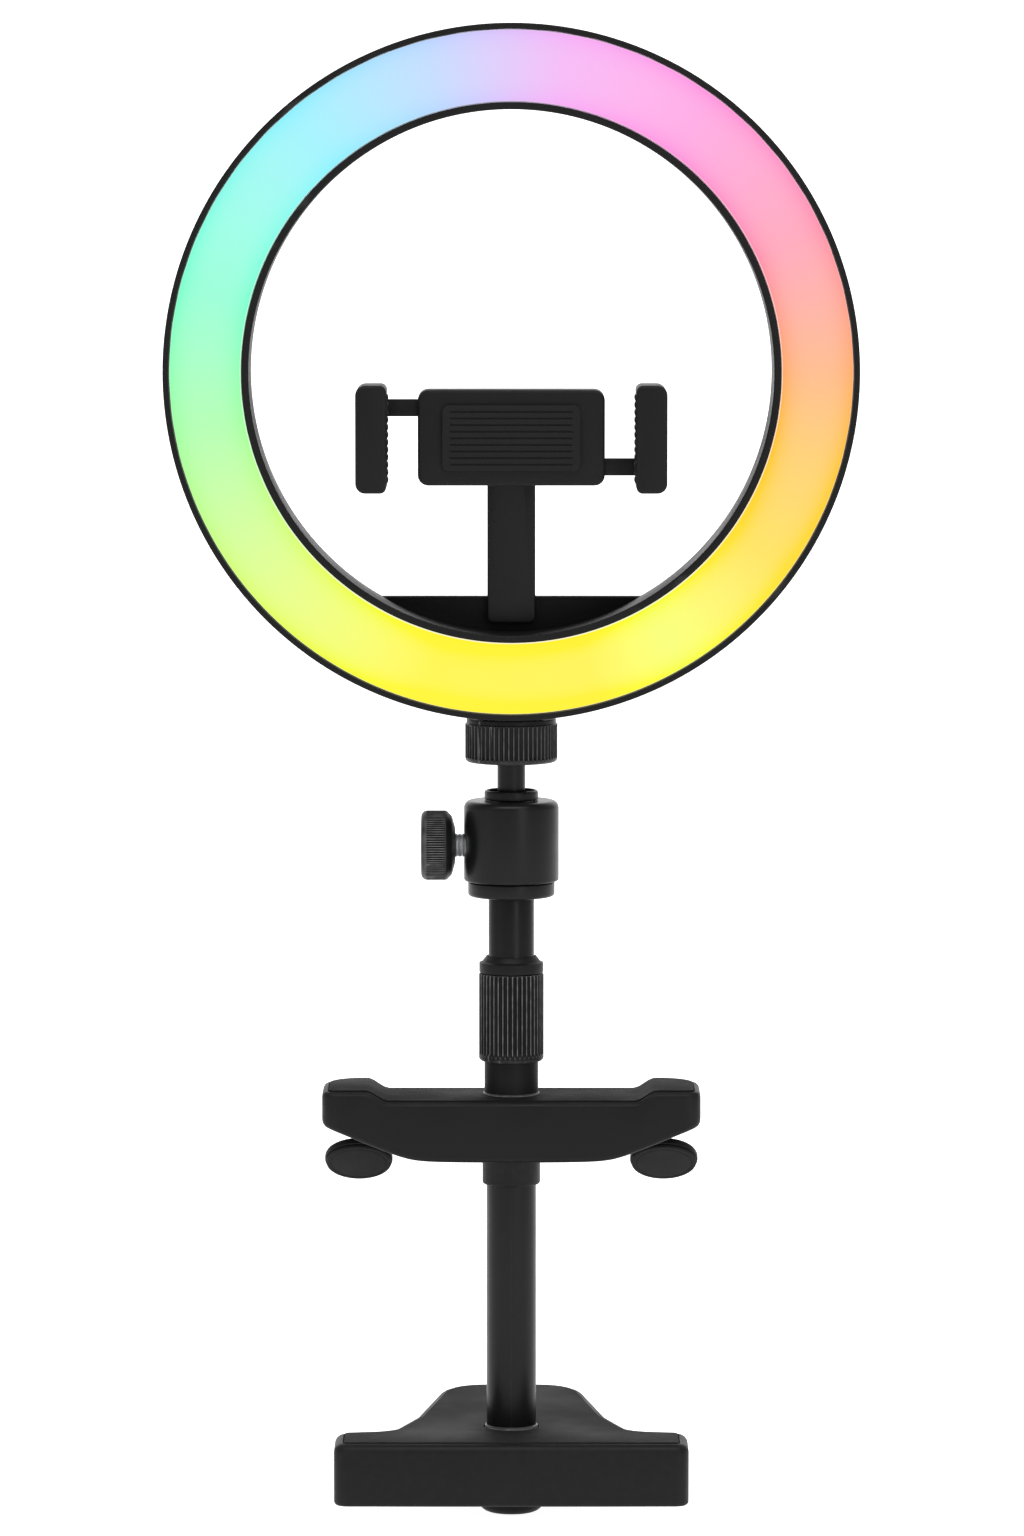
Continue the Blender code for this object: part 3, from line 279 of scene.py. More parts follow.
def new_finish(slot, dark, light, highlight_colour, rough, metallic=0.0, specular=0.5, grain_scale=5000,
               cloud_scale=45, bump=0.25, full_highlight=0.60):
    """A material for one of the record's slots: clouded colour and gloss, fine bump, painted highlights on
    outer edges.
    """
    made = bpy.data.materials.new(slot + "_finish")
    made["slot"] = slot
    made.use_nodes = True
    nodes, links = made.node_tree.nodes, made.node_tree.links
    shader = nodes["Principled BSDF"]
    shader.inputs["Metallic"].default_value = metallic
    shader.inputs["Specular IOR Level"].default_value = specular
    surface = place_effect(nodes, grain, Grain_Scale=grain_scale, Cloud_Scale=cloud_scale)
    edges = place_effect(nodes, edge_highlight, Full=full_highlight)
    clouded, highlighted = nodes.new("ShaderNodeMix"), nodes.new("ShaderNodeMix")
    clouded.data_type = highlighted.data_type = "RGBA"
    clouded.inputs["A"].default_value = (*dark, 1)
    clouded.inputs["B"].default_value = (*light, 1)
    highlighted.inputs["B"].default_value = (*highlight_colour, 1)
    gloss = nodes.new("ShaderNodeMapRange")
    gloss.inputs["From Min"].default_value, gloss.inputs["From Max"].default_value = 0.35, 0.65
    gloss.inputs["To Min"].default_value, gloss.inputs["To Max"].default_value = rough
    relief = nodes.new("ShaderNodeBump")
    relief.inputs["Strength"].default_value = bump
    relief.inputs["Distance"].default_value = 0.0002
    links.new(surface.outputs["Clouds"], clouded.inputs["Factor"])
    links.new(clouded.outputs["Result"], highlighted.inputs["A"])
    links.new(edges.outputs["Rub"], highlighted.inputs["Factor"])
    links.new(highlighted.outputs["Result"], shader.inputs["Base Color"])
    links.new(surface.outputs["Clouds"], gloss.inputs["Value"])
    links.new(gloss.outputs["Result"], shader.inputs["Roughness"])
    links.new(surface.outputs["Height"], relief.inputs["Height"])
    links.new(relief.outputs["Normal"], shader.inputs["Normal"])
    return made


def fit(piece, body, finish, *stands_for):
    """Gives a piece its finish and its body, and hides the plain solids that it stands for."""
    piece.data.materials.clear()
    piece.data.materials.append(finish)
    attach(piece, body)
    if stands_for:
        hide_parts(*stands_for)
    return piece


# Each finish's third colour is the painted highlight laid on its outer edges.
satin_black = new_finish("black_plastic", (0.0042, 0.0042, 0.0042), (0.0072, 0.0071, 0.0071),
                         (0.022, 0.022, 0.022),
                         (0.42, 0.54), specular=0.10, bump=0.20)
# A copy of the black plastic with a pale edge colour, which paints bright highlight lines on the thin lips
# at the tubes' feet.
lip_highlight_black = new_finish("black_plastic", (0.0060, 0.0060, 0.0060), (0.0090, 0.0090, 0.0090),
                          (0.220, 0.220, 0.220),
                          (0.30, 0.40), specular=0.24, bump=0.10, full_highlight=0.54)
# A darker, duller copy of the black plastic for the bar's cover: painted shade that keeps its top face dark
# under the overhead lamp.
shaded_lid_black = new_finish("black_plastic", (0.0036, 0.0036, 0.0036), (0.0060, 0.0060, 0.0060),
                       (0.016, 0.016, 0.016),
                       (0.60, 0.74), specular=0.05, bump=0.15)
matt_rubber = new_finish("rubber", (0.0055, 0.0055, 0.0056), (0.0095, 0.0095, 0.0096),
                         (0.018, 0.018, 0.018),
                         (0.66, 0.80), specular=0.12, grain_scale=3200, bump=0.4)

JAW_LOW, JAW_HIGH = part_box("lower_jaw")
JAW_HALF = JAW_HIGH.x
JAW_FRONT, JAW_TAIL = JAW_LOW.y - POLE_Y, JAW_HIGH.y - POLE_Y
JAW_EDGE, JAW_RIM, JAW_TRAY = 0.0025, 0.0026, 0.0018
ON_POLE = Matrix.Translation((0, POLE_Y, 0))
TUBE_RADIUS = POLE[1].x

jaw_right = [(JAW_HALF, JAW_FRONT, 0.0040), (JAW_HALF, -0.0080, 0.0045), (0.0360, -0.0055, 0.0080),
             (0.0285, 0.0180, 0.0200), (0.0200, JAW_TAIL, 0.0140)]
jaw_outline = eased(jaw_right + [(-x, y, radius) for x, y, radius in reversed(jaw_right)])
jaw = moulding("lower_jaw_moulding", jaw_outline, JAW_LOW.z, JAW_HIGH.z, ON_POLE, JAW_EDGE, 0.0012)
CORE_ROOF, CORE_CORNER = -0.0056, 0.0020
CORES = ((-0.046, -0.0255, -0.015, -0.0125), (0.015, -0.0255, 0.046, -0.0125),
         (-0.014, 0.016, 0.014, 0.055))
cored = [moulding("jaw_core", oblong(*core, CORE_CORNER), JAW_LOW.z - 0.002, CORE_ROOF,
                  ON_POLE) for core in CORES]
cut(jaw, moulding("jaw_tray", drawn_in(jaw_outline, JAW_RIM), JAW_HIGH.z - JAW_TRAY, 0.004, ON_POLE),
    drill("jaw_socket", 0.0076, (0, POLE_Y, -0.0143), (0, POLE_Y, 0.010)),
    drill("jaw_screw_hole", 0.0028, (0, POLE_Y, -0.030), (0, POLE_Y, 0)), *cored)
fit(jaw, "clamp_base", satin_black, "lower_jaw")

JAW_PAD_LOW, JAW_PAD_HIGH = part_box("lower_jaw_pad")
jaw_pad = moulding("lower_jaw_rubber", drawn_in(jaw_outline, JAW_RIM + 0.0003), JAW_PAD_LOW.z,
                   JAW_PAD_HIGH.z,
                   ON_POLE, 0.0004)
cut(jaw_pad, drill("rubber_hole", 0.0082, (0, POLE_Y, -0.01), (0, POLE_Y, 0.01)))
fit(jaw_pad, "clamp_base", matt_rubber, "lower_jaw_pad")


# ---- Base cap and its screw ----
# A round black cap under the jaw. One zinc-plated screw up its middle holds cap, jaw and pole together.
def lathe(name, profile, place, steps=128, closed=True, ribs=None):
    """Turns (radius, height) points about an axis. ribs(height, angle) gives how deep a groove is there."""
    edit = bmesh.new()
    rings = []
    for radius, height in profile:
        if radius < 1e-6:
            rings.append([edit.verts.new((0, 0, height))] * steps)
            continue
        ring = []
        for i in range(steps):
            turn = 2 * math.pi * i / steps
            reach = radius - (ribs(radius, height, turn) if ribs else 0)
            ring.append(edit.verts.new((reach * math.cos(turn), reach * math.sin(turn), height)))
        rings.append(ring)
    pairs = list(zip(rings, rings[1:])) + ([(rings[-1], rings[0])] if closed else [])
    for one, other in pairs:
        for i in range(steps):
            j = (i + 1) % steps
            corners = list(dict.fromkeys((one[i], one[j], other[j], other[i])))
            if len(corners) > 2:
                edit.faces.new(corners)
    return keep_mesh(name, edit, place)


def cross_screw(name, place, head_radius, head_height, shank, length, finish, body, node):
    """A pan-headed screw whose head points up its own axis, with a cross recess."""
    head = eased([(0, head_height), (head_radius, head_height, head_height * 0.55),
                  (head_radius, 0, 0.0001),
                  (shank, 0), (shank, -length), (0, -length)], closed=False)
    screw = lathe(name, head, place, 48, closed=False)
    slots = []
    for angle in (0, 90):
        turn = Matrix.Rotation(math.radians(angle), 4, "Z")
        reach, width = head_radius * 0.55, head_radius * 0.14
        slots.append(moulding("recess", oblong(-reach, -width, reach, width), head_height * 0.45,
                              head_height * 1.5, place @ turn))
    cut(screw, *slots)
    return fit(screw, body, finish, node)


zinc = new_finish("steel", (0.50, 0.51, 0.53), (0.66, 0.67, 0.68), (0.80, 0.80, 0.80), (0.36, 0.50),
                  metallic=1.0,
                  grain_scale=2600, cloud_scale=180, bump=0.12)

CAP_LOW, CAP_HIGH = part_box("base_cap")
CAP_RADIUS = CAP_HIGH.x
BASE_SCREW_LOW, BASE_SCREW_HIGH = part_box("base_screw")
screw_room, recess = BASE_SCREW_HIGH.x + 0.0004, BASE_SCREW_LOW.z + 0.0025
cap_profile = eased([(CAP_RADIUS, CAP_HIGH.z), (CAP_RADIUS, CAP_LOW.z, 0.0034),
                     (screw_room, CAP_LOW.z, 0.0004),
                     (screw_room, recess), (0.0028, recess), (0.0028, CAP_HIGH.z)])
fit(lathe("base_cap_turned", cap_profile, ON_POLE), "clamp_base", satin_black, "base_cap")
BASE_HEAD = 0.0022
head_seat = BASE_SCREW_LOW.z + BASE_HEAD
base_screw_place = Matrix.Translation((0, POLE_Y, head_seat)) @ Matrix.Rotation(math.pi, 4, "X")
cross_screw("base_screw_turned", base_screw_place, BASE_SCREW_HIGH.x, BASE_HEAD, 0.0024,
            BASE_SCREW_HIGH.z - head_seat, zinc, "clamp_base", "base_screw")


# ---- Pole tubes ----
# Two aluminium tubes, anodised satin black, the upper one sliding in the lower one. Their ends are
# rounded off, and a thin ring closes the gap between the lower one's foot and the jaw's rubber. Its pale
# edge colour paints a bright highlight line at the foot.
anodised = new_finish("black_metal", (0.0032, 0.0032, 0.0033), (0.0056, 0.0056, 0.0057),
                      (0.012, 0.012, 0.012),
                      (0.28, 0.36), specular=0.14, grain_scale=3800, cloud_scale=70, bump=0.10)

for tube_node, tube_body, bore in (("lower_tube", "clamp_base", 0.0069), ("upper_tube", "mast", 0.0059)):
    tube_low, tube_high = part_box(tube_node)
    radius, foot, top = tube_high.x, tube_low.z, tube_high.z
    tube_profile = eased([(radius, top, 0.0003), (radius, foot, 0.0003), (bore, foot), (bore, top)],
                         steps=3)
    fit(lathe(tube_node + "_drawn", tube_profile, ON_POLE, 160), tube_body, anodised, tube_node)

ring_reach = TUBE_RADIUS + 0.0005
foot_ring = eased([(TUBE_RADIUS, 0.0008, 0.0001), (ring_reach, 0.0004, 0.0002), (ring_reach, -0.0012),
                   (TUBE_RADIUS, -0.0012)], steps=4)
fit(lathe("pole_foot_ring", foot_ring, ON_POLE), "clamp_base", lip_highlight_black)


def dress(finish, *solids):
    """Gives a finish to plain solids that stay as they are."""
    for solid in solids:
        for material_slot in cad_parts[solid].material_slots:
            material_slot.material = finish


dress(satin_black, "tube_plug", "collet", "upper_tube_foot")


# ---- Twist collar ----
# The pole's clamp: a black collar with narrow straight ribs that is turned by hand, and above it a
# plain ring with a hollow chamfer round the upper tube.
def straight_ribs(count, depth, low, high, beyond, sharp=2.0, fade=0.0005):
    """Grooves between narrow ribs on the skin beyond a radius, fading out at both ends of the band."""
    def groove(radius, height, turn):
        if radius <= beyond:
            return 0
        ends = min(height - low, high - height)
        share = min(max(ends / fade, 0), 1)
        crest = abs(math.cos(count * turn / 2)) ** sharp
        return depth * share * (1 - crest)
    return groove


TWIST_LOW, TWIST_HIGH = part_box("twist_collar")
TWIST_RADIUS, TWIST_RIBS, TWIST_RIB_DEPTH = TWIST_HIGH.x, 41, 0.00062
TWIST_BORE, CAP_ROOM, CAP_SEAT = 0.0083, 0.0086, 0.1136
rib_foot = TWIST_LOW.z + 0.0022
twist_profile = eased([(TWIST_RADIUS, TWIST_HIGH.z, 0.0004), (TWIST_RADIUS, TWIST_HIGH.z - 0.0006),
                       (TWIST_RADIUS, TWIST_HIGH.z - 0.0011), (TWIST_RADIUS, rib_foot + 0.0006),
                       (TWIST_RADIUS, rib_foot + 0.0001), (TWIST_RADIUS, rib_foot - 0.0003),
                       (TWIST_RADIUS, TWIST_LOW.z, 0.0011), (TWIST_BORE, TWIST_LOW.z),
                       (TWIST_BORE, CAP_SEAT), (CAP_ROOM, CAP_SEAT + 0.0003), (CAP_ROOM, TWIST_HIGH.z)])
twist_ribs = straight_ribs(TWIST_RIBS, TWIST_RIB_DEPTH, rib_foot, TWIST_HIGH.z + 0.0002, 0.0090, 3.0)

# A darker copy of the black plastic with a strong pale edge colour, which paints highlights on the rib
# crests.
ribbed_black = new_finish("black_plastic", (0.0032, 0.0032, 0.0032), (0.0056, 0.0056, 0.0056),
                          (0.160, 0.160, 0.160),
                          (0.40, 0.50), specular=0.10, bump=0.12, full_highlight=0.535)
fit(lathe("twist_collar_ribbed", twist_profile, ON_POLE, TWIST_RIBS * 12, ribs=twist_ribs), "twist_lock",
    ribbed_black, "twist_collar")

RING_CAP_LOW, RING_CAP_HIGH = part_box("collar_cap")
MAST_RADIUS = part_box("upper_tube")[1].x
cap_top, cap_foot = RING_CAP_HIGH.z, RING_CAP_LOW.z
cap_outer, cap_bore = RING_CAP_HIGH.x, MAST_RADIUS + 0.0003
collar_cap_profile = eased([(cap_bore, cap_top - 0.0005, 0.0001), (cap_bore + 0.0003, cap_top, 0.0001),
                            (cap_outer - 0.0009, cap_top - 0.0016, 0.0012),
                            (cap_outer, cap_top - 0.0020, 0.0002),
                            (cap_outer, cap_foot, 0.0003), (cap_bore, cap_foot)], steps=5)
fit(lathe("collar_cap_turned", collar_cap_profile, ON_POLE), "twist_lock", satin_black, "collar_cap")


# ---- Sliding upper jaw ----
# A satin black bar, bowed underneath and stepped up at both ends, with a sleeve and a foot collar that
# slide on the lower tube. A thin cover snaps on its top, so a parting line runs along its front.
def loft(name, sections, place):
    """Skins a row of closed sections, each with as many points, and caps both ends."""
    edit = bmesh.new()
    rows = [[edit.verts.new(point) for point in section] for section in sections]
    count = len(rows[0])
    for one, other in zip(rows, rows[1:]):
        for i in range(count):
            j = (i + 1) % count
            edit.faces.new((one[i], one[j], other[j], other[i]))
    edit.faces.new(rows[0])
    edit.faces.new(rows[-1])
    return keep_mesh(name, edit, place)


BAR_LOW, BAR_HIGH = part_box("upper_jaw")
BAR_HALF = BAR_HIGH.x
BAR_FRONT, BAR_BACK = BAR_LOW.y - POLE_Y, BAR_HIGH.y - POLE_Y
LOBE_RISE, COVER_THICK, BAR_RIM, RIM_DROP = 0.0030, 0.0016, 0.0016, 0.0005
BAR_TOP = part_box("upper_jaw_cover")[1].z - LOBE_RISE
BAR_UNDER = BAR_TOP - 0.0184
FRONT_CORNER, BACK_CORNER, END_EDGE = 0.0040, 0.0120, 0.0014


def bar_top(x):
    share = min(max((abs(x) - 0.0360) / 0.0065, 0), 1)
    return BAR_TOP + LOBE_RISE * share * share * (3 - 2 * share)


def bar_under(x):
    out = abs(x) - 0.0295
    return BAR_UNDER + 0.42 * (math.hypot(out, 0.005) + out) / 2


def corner_pull(left, radius):
    """How far a rounded corner has drawn in, where so much of the length is left before the end."""
    return radius - math.sqrt(radius ** 2 - (radius - left) ** 2) if left < radius else 0


def bar_piece(name, low, high, foot_round, top_round, drawn_back=0.0, end_edge=END_EDGE):
    """A length of the bar between two functions of x, with rounded edges, drawn in by some distance."""
    half, near, far = BAR_HALF - drawn_back, FRONT_CORNER - drawn_back, BACK_CORNER - drawn_back
    ends = [half - far * (1 - math.cos(math.radians(90 * k / 12))) for k in range(13)]
    middle = [(half - far) * (k / 30 - 1) for k in range(1, 60)]
    sections = []
    for x in sorted([-x for x in ends] + middle + ends):
        left = half - abs(x)
        front = BAR_FRONT + drawn_back + corner_pull(left, near)
        back = BAR_BACK - drawn_back - corner_pull(left, far)
        foot = low(x) + corner_pull(left, end_edge)
        top = high(x) - corner_pull(left, end_edge)
        outline = eased([(front, foot, foot_round), (back, foot, foot_round), (back, top, top_round),
                         (front, top, top_round)], steps=4)
        sections.append([(x, y, z) for y, z in outline])
    return loft(name, sections, ON_POLE)


SLEEVE_RADIUS, SLEEVE_FOOT, SLEEVE_TOP = 0.0079, 0.0850, BAR_HIGH.z
FOOT_COLLAR, FOOT_COLLAR_TOP, TUBE_ROOM = 0.0085, 0.0860, 0.00755
bar = bar_piece("upper_jaw_bar", bar_under, lambda x: bar_top(x) - RIM_DROP, 0.0016, 0.0016)
lid_bed = bar_piece("lid_bed", lambda x: bar_top(x) - COVER_THICK - 0.0003, lambda x: bar_top(x) + 0.004,
                    0.0001,
                    0.0001, BAR_RIM, 0.0)
cut(bar, lid_bed, drill("bar_bore", 0.0077, (0, POLE_Y, 0.060), (0, POLE_Y, 0.120)))
fit(bar, "sliding_jaw", satin_black, "upper_jaw")
# The cover's darker finish is painted shade on the bar's top.
bar_cover = bar_piece("upper_jaw_lid", lambda x: bar_top(x) - COVER_THICK, bar_top, 0.0001, 0.0003,
                      BAR_RIM + 0.0003, 0.0)
cut(bar_cover, drill("lid_hole", SLEEVE_RADIUS + 0.0003, (0, POLE_Y, 0.080), (0, POLE_Y, 0.120)))
fit(bar_cover, "sliding_jaw", shaded_lid_black, "upper_jaw_cover")

sleeve_profile = eased([(SLEEVE_RADIUS, SLEEVE_TOP, 0.0003), (SLEEVE_RADIUS, SLEEVE_FOOT),
                        (TUBE_ROOM, SLEEVE_FOOT), (TUBE_ROOM, SLEEVE_TOP, 0.0001)], steps=3)
fit(lathe("upper_jaw_sleeve", sleeve_profile, ON_POLE), "sliding_jaw", satin_black)
# The thin lip round the sleeve's foot carries a painted highlight line.
lip_reach = SLEEVE_RADIUS + 0.0004
lip_profile = eased([(SLEEVE_RADIUS, BAR_TOP + 0.0006, 0.0001), (lip_reach, BAR_TOP + 0.0003, 0.0002),
                     (lip_reach, BAR_TOP - 0.0003), (SLEEVE_RADIUS, BAR_TOP - 0.0003)], steps=4)
fit(lathe("sleeve_foot_lip", lip_profile, ON_POLE), "sliding_jaw", lip_highlight_black)
foot_collar_profile = eased([(FOOT_COLLAR, FOOT_COLLAR_TOP), (FOOT_COLLAR, BAR_LOW.z, 0.0007),
                             (TUBE_ROOM, BAR_LOW.z, 0.0002), (TUBE_ROOM, FOOT_COLLAR_TOP)], steps=4)
fit(lathe("upper_jaw_foot_collar", foot_collar_profile, ON_POLE), "sliding_jaw", satin_black)


# ---- Jaw lock ----
# A small ribbed thumb knob on a steel screw at the back of the bar, running in a brass insert.
# It pinches the lower tube and holds the upper jaw at its height.
LOCK_LOW, LOCK_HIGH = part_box("jaw_lock_knob")
lock_z = (LOCK_LOW.z + LOCK_HIGH.z) / 2
lock_radius = (LOCK_HIGH.x - LOCK_LOW.x) / 2
lock_near, lock_far = LOCK_LOW.y - POLE_Y, LOCK_HIGH.y - POLE_Y
jaw_lock_place = Matrix.Translation((0, POLE_Y, lock_z)) @ Matrix.Rotation(math.radians(-90), 4, "X")
jaw_lock_profile = eased([(0, lock_far - 0.0004), (0.0042, lock_far - 0.0004, 0.0004),
                          (0.0048, lock_far, 0.0004),
                          (lock_radius, lock_far, 0.0009), (lock_radius, lock_far - 0.0016),
                          (lock_radius, lock_near + 0.0030), (lock_radius, lock_near + 0.0020, 0.0006),
                          (0.0046, lock_near, 0.0004), (0.0021, lock_near), (0.0021, 0.0243), (0, 0.0243)],
                         closed=False)
jaw_lock_ribs = straight_ribs(24, 0.00045, lock_near + 0.0018, lock_far - 0.0006, lock_radius - 0.0006)
fit(lathe("jaw_lock_thumb_knob", jaw_lock_profile, jaw_lock_place, 24 * 10, closed=False,
          ribs=jaw_lock_ribs),
    "jaw_lock", ribbed_black, "jaw_lock_knob")
brass = new_finish("brass", (0.52, 0.36, 0.14), (0.68, 0.50, 0.22), (0.85, 0.70, 0.42), (0.26, 0.42),
                   metallic=1.0,
                   grain_scale=2400, cloud_scale=160, bump=0.15)
dress(zinc, "jaw_lock_screw")
dress(brass, "jaw_lock_insert")


# ---- Swivel pads ----
# Two round feet under the bar's ends that press on the desk. Each is a black disc snapped on a steel
# ball stud, with a smooth rubber face glued underneath.
def arc(radius, *degrees):
    """Points round the origin at a range of angles."""
    turns = [math.radians(angle) for angle in range(*degrees)]
    return [(radius * math.cos(turn), radius * math.sin(turn)) for turn in turns]


PAD_LEAN, STUD_BALL, PAD_SOCKET = math.radians(-38), 0.0028, 0.0031
PAD_RADIUS = (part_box("left_swivel_pad")[1].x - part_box("left_swivel_pad")[0].x) / 2
for side, word in ((-1, "left"), (1, "right")):
    stud_low, stud_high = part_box(word + "_ball_stud")
    pad_x = (stud_low.x + stud_high.x) / 2
    pad_y = (stud_low.y + stud_high.y) / 2
    ball_z = stud_low.z + (stud_high.x - stud_low.x) / 2
    ball_place = Matrix.Translation((pad_x, pad_y, ball_z))
    leaning = ball_place @ Matrix.Rotation(PAD_LEAN, 4, "X")
    stud_shank = [(0, 0.0120), (0.0020, 0.0120), (0.0020, 0.0038), (0.0015, 0.0030)]
    stud_profile = stud_shank + arc(STUD_BALL, 57, -90, -9) + [(0, -STUD_BALL)]
    fit(lathe(word + "_stud_turned", stud_profile, ball_place, 48, closed=False), "sliding_jaw", zinc,
        word + "_ball_stud")
    pad_skin = eased([(PAD_SOCKET, 0.0006), (0.0036, 0.0010, 0.0002), (0.0052, -0.0004, 0.0008),
                      (0.0060, -0.0014, 0.0006), (PAD_RADIUS, -0.0016, 0.0012),
                      (PAD_RADIUS, -0.0039, 0.0003), (0, -0.0039)], closed=False)
    pad_profile = [(0, -PAD_SOCKET)] + arc(PAD_SOCKET, -80, 16, 8) + pad_skin[1:]
    fit(lathe(word + "_pad_disc", pad_profile, leaning, 96, closed=False), word + "_pad", satin_black,
        word + "_swivel_pad")
    face_radius = PAD_RADIUS - 0.0004
    face_profile = eased([(0, -0.0042), (face_radius, -0.0042), (face_radius, -0.0050, 0.0004),
                          (face_radius - 0.0012, -0.0050, 0.0001), (face_radius - 0.0014, -0.0048, 0.0001),
                          (face_radius - 0.0016, -0.0050, 0.0001), (0, -0.0050)], closed=False, steps=4)
    fit(lathe(word + "_pad_rubber", face_profile, leaning, 96, closed=False), word + "_pad", matt_rubber,
        word + "_pad_face")


# ---- Ball head ----
# Turned aluminium, anodised black: a disc screwed on the mast, the drum that turns on it and holds the
# ball, and a thin neck ring on top. The ball and its stem are one turned piece.
DISC_LOW, DISC_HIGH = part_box("head_base")
disc_radius = DISC_HIGH.x
disc_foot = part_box("upper_tube")[1].z + 0.0003
disc_profile = eased([(0.0028, DISC_HIGH.z), (disc_radius, DISC_HIGH.z, 0.0003),
                      (disc_radius, disc_foot, 0.0010),
                      (0.0056, disc_foot), (0.0056, DISC_LOW.z, 0.0003), (0.0028, DISC_LOW.z)])
fit(lathe("head_disc", disc_profile, ON_POLE, 160), "mast", anodised, "head_base")

DRUM_LOW, DRUM_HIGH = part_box("ball_housing")
drum_radius = DRUM_HIGH.x
head_ball_z = 0.1800
DRUM_ROOM, DRUM_FLOOR, DRUM_MOUTH, PAN_BOLT_HOLE = 0.0092, 0.1646, 0.0070, 0.0029
drum_profile = eased([(DRUM_MOUTH, DRUM_HIGH.z), (drum_radius, DRUM_HIGH.z, 0.0021),
                      (drum_radius, DRUM_LOW.z, 0.0007), (PAN_BOLT_HOLE, DRUM_LOW.z),
                      (PAN_BOLT_HOLE, DRUM_FLOOR), (DRUM_ROOM, DRUM_FLOOR),
                      (DRUM_ROOM, head_ball_z + 0.0030), (0.0077, head_ball_z + 0.0033)])
drum = lathe("ball_drum", drum_profile, ON_POLE, 192)
knob_low, knob_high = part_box("lock_knob")
lock_height = (knob_low.z + knob_high.z) / 2
cut(drum, drill("stud_hole", 0.0039, (-0.0200, POLE_Y, lock_height), (-0.0060, POLE_Y, lock_height), 48))
fit(drum, "head", anodised, "ball_housing")

NECK_LOW, NECK_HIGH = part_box("neck_ring")
neck_radius = NECK_HIGH.x
neck_profile = eased([(DRUM_MOUTH, NECK_HIGH.z, 0.0003), (neck_radius, NECK_HIGH.z, 0.0007),
                      (neck_radius, NECK_LOW.z, 0.0002), (DRUM_MOUTH, NECK_LOW.z)])
fit(lathe("neck_ring_turned", neck_profile, ON_POLE), "head", anodised, "neck_ring")

STEM_LOW, STEM_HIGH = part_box("ball_stem")
ball_radius = head_ball_z - STEM_LOW.z
stem_radius, thread_radius, nut_seat = 0.0041, 0.0031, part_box("locknut")[0].z - 0.0003


def thread(radius, low, high, pitch, depth):
    """The crests and roots of a screw thread, from its top down."""
    count = int((high - low) / pitch * 2)
    return [(radius - depth * (k % 2), high - (high - low) * k / count) for k in range(count + 1)]


meet = math.acos(stem_radius / ball_radius)
ball_turns = [meet - (meet + math.pi / 2) * k / 28 for k in range(28)]
stem_ball = [(ball_radius * math.cos(turn), head_ball_z + ball_radius * math.sin(turn))
             for turn in ball_turns]
stem_thread = thread(thread_radius, nut_seat + 0.0004, STEM_HIGH.z, 0.0013, 0.0004)
stem_shoulder = [(stem_radius - 0.0003, nut_seat), (stem_radius, nut_seat - 0.0003)]
stem_profile = [(0, STEM_HIGH.z)] + stem_thread + stem_shoulder + stem_ball + [(0, STEM_LOW.z)]
fit(lathe("ball_and_stem", stem_profile, ON_POLE, 96, closed=False), "ball", anodised, "ball_stem")
white_moulded = new_finish("white_plastic", (0.74, 0.74, 0.72), (0.84, 0.84, 0.82), (0.90, 0.90, 0.90),
                           (0.38, 0.52))
dress(zinc, "pan_bolt")
dress(white_moulded, "ball_seat")
dress(brass, "clamp_shoe")


# ---- Ball lock ----
# A black knob with a finely ribbed rim on a zinc-plated threaded stud. Turning it presses a brass shoe
# on the ball's seat.
knob_radius = (knob_high.z - knob_low.z) / 2
BALL_LOCK_PLACE = Matrix.Translation((0, POLE_Y, lock_height)) @ Matrix.Rotation(math.radians(90), 4, "Y")
outer_face, inner_face = knob_low.x, knob_high.x
knob_profile = eased([(0, -0.0229), (0.0039, -0.0229), (0.0039, inner_face), (0.0050, inner_face, 0.0008),
                      (knob_radius - 0.0016, inner_face - 0.0010, 0.0012),
                      (knob_radius, inner_face - 0.0026, 0.0010),
                      (knob_radius, inner_face - 0.0036), (knob_radius, outer_face + 0.0026),
                      (knob_radius, outer_face + 0.0019), (knob_radius, outer_face, 0.0018),
                      (0.0070, outer_face, 0.0004), (0.0066, outer_face + 0.0004, 0.0003),
                      (0, outer_face + 0.0004)],
                     closed=False)
knob_ribs = straight_ribs(88, 0.00030, outer_face + 0.0016, inner_face - 0.0028, knob_radius - 0.0002, 1.5)
fit(lathe("ball_lock_knob", knob_profile, BALL_LOCK_PLACE, 88 * 6, closed=False, ribs=knob_ribs),
    "ball_lock",
    ribbed_black, "lock_knob")
STUD_LOW, STUD_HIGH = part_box("lock_stud")
stud_radius = (STUD_HIGH.z - STUD_LOW.z) / 2
stud_thread = thread(stud_radius, STUD_LOW.x, STUD_HIGH.x, 0.0010, 0.0003)
stud_thread = [(0, STUD_HIGH.x)] + stud_thread + [(0, STUD_LOW.x)]
fit(lathe("lock_stud_threaded", stud_thread, BALL_LOCK_PLACE, 64, closed=False), "ball_lock", zinc,
    "lock_stud")


